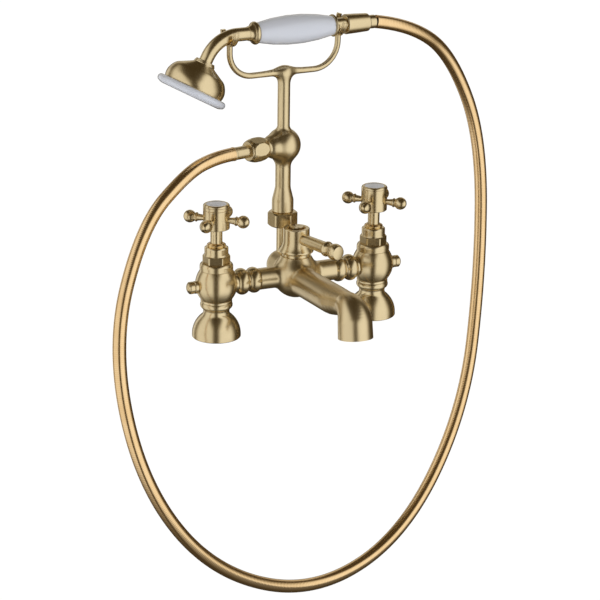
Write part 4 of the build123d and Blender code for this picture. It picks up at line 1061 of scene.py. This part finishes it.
riserValues = {
    "pipe": 6.3, "nut": 27.8, "turn": -21.0, "column": 8.1, "tee": 18.2, "stem": 6.5,
    "branch": ((8.0, 13.2), (12.6, 12.8), (15.6, 10.6), (19.4, 9.2), (34.0, 9.1)),
    "fillets": {"column": 7.0, "stem": 4.0, "branch": 3.0}, "cuts": {"column": 150.0, "stem": 208.0, "branch": 25.2},
}

thick = riserValues["pipe"]
pipe = Outline(4.6, 62.0).to((thick, 62.0), (thick, 100.2), (4.6, 100.2), (4.6, 62.0))
turnedPiece("lowerPipe", pipe, place(riserFoot), "tap_body", ["lower_pipe"], 64, 0.1)
nutLine = Outline(13.4, 100.0).to((16.1, 101.9), (16.1, 113.6), (13.4, 115.5))
nut = facetted("unionNut", place(riserFoot), riserValues["nut"], riserValues["turn"], nutLine, 10.25)
piece("unionNut", nut, "tap_body", ["union_nut", "union_washer"])


def teeDistance(p, values=riserValues):
    fillets = values["fillets"]
    ball = ballDistance(p, teeCentre, values["tee"])
    column = rodDistance(p, (0, 35, 120), (0, 35, 180), values["column"])
    stem = rodDistance(p, (0, 35, 190), (0, 35, 230), values["stem"])
    branch = railDistance(p, [np.array(teeCentre) + np.array(toHose) * t for t, r in values["branch"]],
                          [r for t, r in values["branch"]])
    shape = softMin(ball, column, fillets["column"])
    shape = softMin(shape, stem, fillets["stem"])
    return softMin(shape, branch, fillets["branch"])


rods = [
    (teeCentre, teeCentre + up * 0.1, 18.0, 18.0),
    ((0, 35, 140), (0, 35, 180), 7.9, 7.9), ((0, 35, 190), (0, 35, 215), 6.3, 6.3),
    (teeCentre + toHose * 8, teeCentre + toHose * 14, 12.0, 10.4),
    (teeCentre + toHose * 14, teeCentre + toHose * 28, 10.4, 8.9),
]
cuts = riserValues["cuts"]
tee = castMesh("tee", teeDistance, rods, 0.5)
cutFlat(tee, (0, 35, cuts["column"]), (0, 0, -1))
cutFlat(tee, (0, 35, cuts["stem"]), (0, 0, 1))
cutFlat(tee, teeCentre + toHose * cuts["branch"], toHose)
column = Outline(0, 107.5).to((10.2, 107.5), (10.2, 115.8), (10.6, 115.8), (11.4, 116.4), (11.4, 127.0))
column.flow((9.9, 134.5), (8.1, 143.5), leave=(0, 1), arrive=(0, 1)).to((8.1, 150.2), (0, 150.2))
riser = joined("riserColumn", [tee, turned("column", column, place(riserFoot))])
piece("riserColumn", riser, "riser", ["riser_column"], castBrass)
print("riser made")


# Cradle and its forks

cradleValues = {
    "run": 264.5, "reach": 63.0, "rod": 3.1, "stem": 6.5, "fillet": 9.0,
    "bend": {-1: 28.0, 1: 25.0}, "floor": {-1: 300.0, 1: 299.1},
    "taper": ((0, 1.0, 5.0), (4, 0.98, 4.7), (8, 0.9, 4.2), (14, 0.5, 3.6), (20, 0.2, 3.3), (28, 0.05, 3.15)),
}


def cradleRail(side, values=cradleValues):
    # Points and radii: out of the stem, level, round the bend and up to the strap
    run, reach, rod, bend = values["run"], values["reach"], values["rod"], values["bend"][side]
    rail = [(s, run + lift, r) for s, lift, r in values["taper"]] + [(reach - bend, run, rod)]
    for k in range(1, 13):
        angle = math.radians(90 * k / 12)
        rail.append((reach - bend + bend * math.sin(angle), run + bend - bend * math.cos(angle), rod))
    rail.append((reach, values["floor"][side] - 1.2, rod))
    return [onCradle(side * s, z) for s, z, r in rail], [r for s, z, r in rail]


rails = [cradleRail(side) for side in (1, -1)]


def cradleDistance(p, values=cradleValues):
    thick = values["stem"]
    stem = railDistance(p, [(0, 35, z) for z in (200, 222, 250, 256.5, 262)], [thick] * 3 + [thick + 0.1] * 2)
    arms = np.minimum(railDistance(p, *rails[0]), railDistance(p, *rails[1]))
    return softMin(stem, arms, values["fillet"])


rods = [((0, 35, 206), (0, 35, 262), 6.0, 6.2)]
for rail, radii in rails:
    rods += zip(rail, rail[1:], radii, radii[1:])
cradle = castMesh("cradle", cradleDistance, rods, 0.5)
cutFlat(cradle, (0, 35, riserValues["cuts"]["stem"]), (0, 0, -1))
piece("cradleFrame", cradle, "riser", ["cradle"], castBrass)

strapSection = (
    (0.0, -2.4), (0.4, -2.8), (1.9, -2.8), (2.2, -2.4), (2.2, -1.7), (1.7, -1.4), (2.2, -1.1),
    (2.2, 1.1), (1.7, 1.4), (2.2, 1.7), (2.2, 2.4), (1.9, 2.8), (0.4, 2.8), (0.0, 2.4),
)
strapValues = {
    "radius": 14.0, "blunt": 0.86, "middle": 1.1,
    1: {"turn": 0.0, "lean": 0.0, "front": 0.4, "back": -1.0},
    -1: {"turn": -15.0, "lean": 17.0, "front": -0.4, "back": 4.6},
}


def strapLine(values, radius):
    # Across, up and angle along the U; a prong below the middle of the U starts or ends on the round part
    front, back = values["front"], values["back"]
    start = 180 + math.degrees(math.asin(max(0.0, -front) / radius))
    end = 360 - math.degrees(math.asin(max(0.0, -back) / radius))
    line = [(-radius, front * (1 - t), 180.0) for t in (0, 0.06, 0.5) if front > 0]
    for t in (0, 0.008, 0.016, *(k / 44 for k in range(1, 44)), 0.984, 0.992, 1.0):
        angle = math.radians(start + (end - start) * t)
        line.append((radius * math.cos(angle), radius * math.sin(angle), math.degrees(angle)))
    return line + [(radius, back * t, 360.0) for t in (0.3, 0.6, 0.88, 0.94, 1) if back > 0]


def strap(side):
    # Grooved strap bent to a U in its own leaning plane, with blunt ends
    values, radius, middle = strapValues[side], strapValues["radius"], strapValues["middle"]
    along = level(184 + values["turn"])
    across = along.cross(up)
    tilt = math.radians(values["lean"])
    rise = up * math.cos(tilt) + along * side * math.sin(tilt)
    normal = across.cross(rise)
    centre = onCradle(side * cradleValues["reach"], cradleValues["floor"][side]) + rise * radius
    line = strapLine(values, radius)
    ring = Outline(*strapSection[0]).to(*strapSection[1:], strapSection[0]).eased(0.12, True)
    verts, turning = [], []
    for k, (x, y, angle) in enumerate(line):
        out = across * math.cos(math.radians(angle)) + rise * math.sin(math.radians(angle))
        ends = strapValues["blunt"] if k in (0, len(line) - 1) else 1.0
        for thick, wide in ring:
            spot = centre + across * x + rise * y
            verts.append(spot + out * (middle + (thick - middle) * ends) + normal * wide * ends)
            turning.append((x / 4, y / 4, wide * 2))
    return newMesh("strap", verts, tubeFaces(len(line), len(ring)), turning, rimOf(ring, True) * len(line))


piece("cradleStraps", joined("cradleStraps", [strap(1), strap(-1)]), "riser", ["cradle_forks"])
print("cradle made")


# Hose nut and sleeve on the branch

branchValues = {"nut": 22.8, "turn": 12.5, "bore": 8.2, "corner": 0.35}

where = place(teeCentre, toHose)
nutLine = Outline(11.0, 25.3).arc((13.0, 34.8), (11.1, 44.8)).to((10.4, 45.6))
hoseNut = facetted("hoseNut", where, branchValues["nut"], branchValues["turn"], nutLine, branchValues["bore"],
                   corner=branchValues["corner"])
piece("hoseNut", hoseNut, "riser", ["hose_nut"])
collar = Outline(6.7, 45.4).to((10.2, 45.4), (10.6, 46.1), (9.9, 46.9), (6.7, 46.9), (6.7, 45.4))
sleeve = Outline(4.6, 36.0).to((6.6, 36.0), (6.6, 63.8), (7.3, 64.4), (7.3, 65.8), (4.6, 65.8), (4.6, 36.0))
meshes = [turned(name, line, where, 72, 0.2, True) for name, line in (("collar", collar), ("sleeve", sleeve))]
piece("hoseSleeve", joined("hoseSleeve", meshes), "riser", ["hose_sleeve", "branch_washer"])
print("branch made")


# Handset

neckValues = {
    "start": 34.3, "bendAt": 54.5, "height": 308.4, "bend": 38, "turn": 61.5, "radius": 6.9, "into": 4.6, "lip": 34.3,
}


def neckPoint(degrees, values=neckValues):
    angle, bend = math.radians(degrees), values["bend"]
    return values["bendAt"] + bend * math.sin(angle), values["height"] - bend * (1 - math.cos(angle))


bendEnd = Vector(neckPoint(neckValues["turn"]))
lean = math.radians(90 - neckValues["turn"])
roseUp = up * math.cos(lean) - toRose * math.sin(lean)
roseLip = onCradle(*bendEnd) - roseUp * neckValues["lip"]
gripPlace = place(gripMiddle, toRose)
rosePlace = place(roseLip, roseUp)
glazed = {"material": glaze, "slot": "glazed_ceramic"}

grip = Outline(4.6, -55.5).to((9.6, -55.5), (10.0, -55.1)).arc((15.2, -11.6), (10.3, 31.9)).to((9.9, 32.3), (4.6, 32.3))
nodes = ["porcelain_grip", "inner_tube"]
turnedPiece("porcelainGrip", grip.to((4.6, -55.5)), gripPlace, "handset", nodes, 128, **glazed)
collar = Outline(4.6, 33.2).to((4.6, 32.3), (10.4, 32.3), (11.1, 32.8)).arc((11.8, 34.9), (10.6, 37.0))
collar.arc((8.4, 39.2), (7.4, 42.4)).to((6.92, 42.4), (6.92, 34.2), (4.6, 34.2), (4.6, 33.2))
turnedPiece("neckCollar", collar, gripPlace, "handset", ["neck_collar"])
cap = Outline(4.6, -55.5).to((4.6, -81.0), (6.4, -81.0), (6.4, -70.7), (7.3, -70.7), (7.3, -60.1))
cap.arc((7.7, -58.9), (8.8, -58.4)).to((10.9, -57.8)).arc((11.6, -57.1), (11.3, -55.9)).to((11.0, -55.5), (4.6, -55.5))
turnedPiece("gripCap", cap, gripPlace, "handset", ["grip_cap"])
cone = Outline(6.42, -70.7).to((6.42, -98.7), (8.0, -98.7), (9.4, -97.3), (10.1, -83.7), (10.5, -71.4), (9.8, -70.7))
turnedPiece("coneNut", cone.to((6.42, -70.7)), gripPlace, "handset", ["cone_nut"])
ferrule = Outline(4.6, -84.0).to((4.6, -106.0), (7.1, -106.0), (7.1, -98.8), (6.4, -98.8), (6.4, -84.0), (4.6, -84.0))
turnedPiece("hoseFerrule", ferrule, gripPlace, "handset", ["hose_ferrule"], 72, 0.15)


def swanNeck(values=neckValues, steps=72):
    # Round neck that bends down to the bell of the rose
    line = [(values["start"], values["height"])] + [neckPoint(values["turn"] * k / 40) for k in range(41)]
    into = values["into"]
    line.append((bendEnd.x + into * math.sin(lean), bendEnd.y - into * math.cos(lean)))
    side = toRose.cross(up)
    verts, turning = [], []
    for i, ((s, z), run) in enumerate(zip(line, runsAlong(line))):
        a, b = line[max(i - 1, 0)], line[min(i + 1, len(line) - 1)]
        ahead = (toRose * (b[0] - a[0]) + up * (b[1] - a[1])).normalized()
        out = side.cross(ahead)
        for c, n in circle(steps):
            verts.append(onCradle(s, z) + (out * c + side * n) * values["radius"])
            turning.append((c, n, run))
    return newMesh("swanNeck", verts, tubeFaces(len(line), steps), turning)


piece("roseNeck", swanNeck(), "handset", ["rose_neck"])
bell = Outline(28.6, 0).to((31.2, 0)).flow((31.9, 4.2), (31.3, 8.8), (29.0, 13.8), leave=(0.3, 1), arrive=(-0.6, 1))
bell.arc((26.9, 16.6), (23.9, 18.8))
bell.flow((18.9, 21.4), (14.3, 23.9), (10.9, 26.2), leave=(-1, 0.45), arrive=(-0.7, 0.8))
bell.to((11.2, 26.5), (11.2, 27.2), (10.7, 27.4), (10.7, 28.2), (10.2, 28.4), (10.2, 29.2), (9.7, 29.7), (3.0, 29.7))
bell.to((3.0, 22.0), (8.0, 21.6)).flow((16.0, 18.6), (24.0, 13.6), (28.6, 4.0), leave=(1, -0.2), arrive=(0, -1))
turnedPiece("roseBell", bell.to((28.6, 0)), rosePlace, "handset", ["rose_bell"], 128, 0.2)
face = Outline(27.0, -8.3).arc((30.9, -8.5), (34.3, -7.6)).to((34.5, -7.2), (35.2, -7.15)).arc((37.3, -3.5), (33.4, 0))
face.to((28.5, 0), (28.5, 1.5), (27.0, 1.5), (27.0, -8.3))
turnedPiece("roseFaceRing", face, rosePlace, "handset", ["rose_face_ring"], 128, 0.3, **glazed)
print("handset made")


# CAD nodes that stay as they are get the finish of their kind, most of them that of the castings

kept = {"foot_seals": rubber, "seat_washers": rubber, "diverter_seals": rubber, "flow_straightener": plastic}
for name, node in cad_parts.items():
    if not node.hide_render:
        node.data.materials.clear()
        node.data.materials.append(kept.get(name, castBrass))

scene.view_settings.view_transform = "Standard"
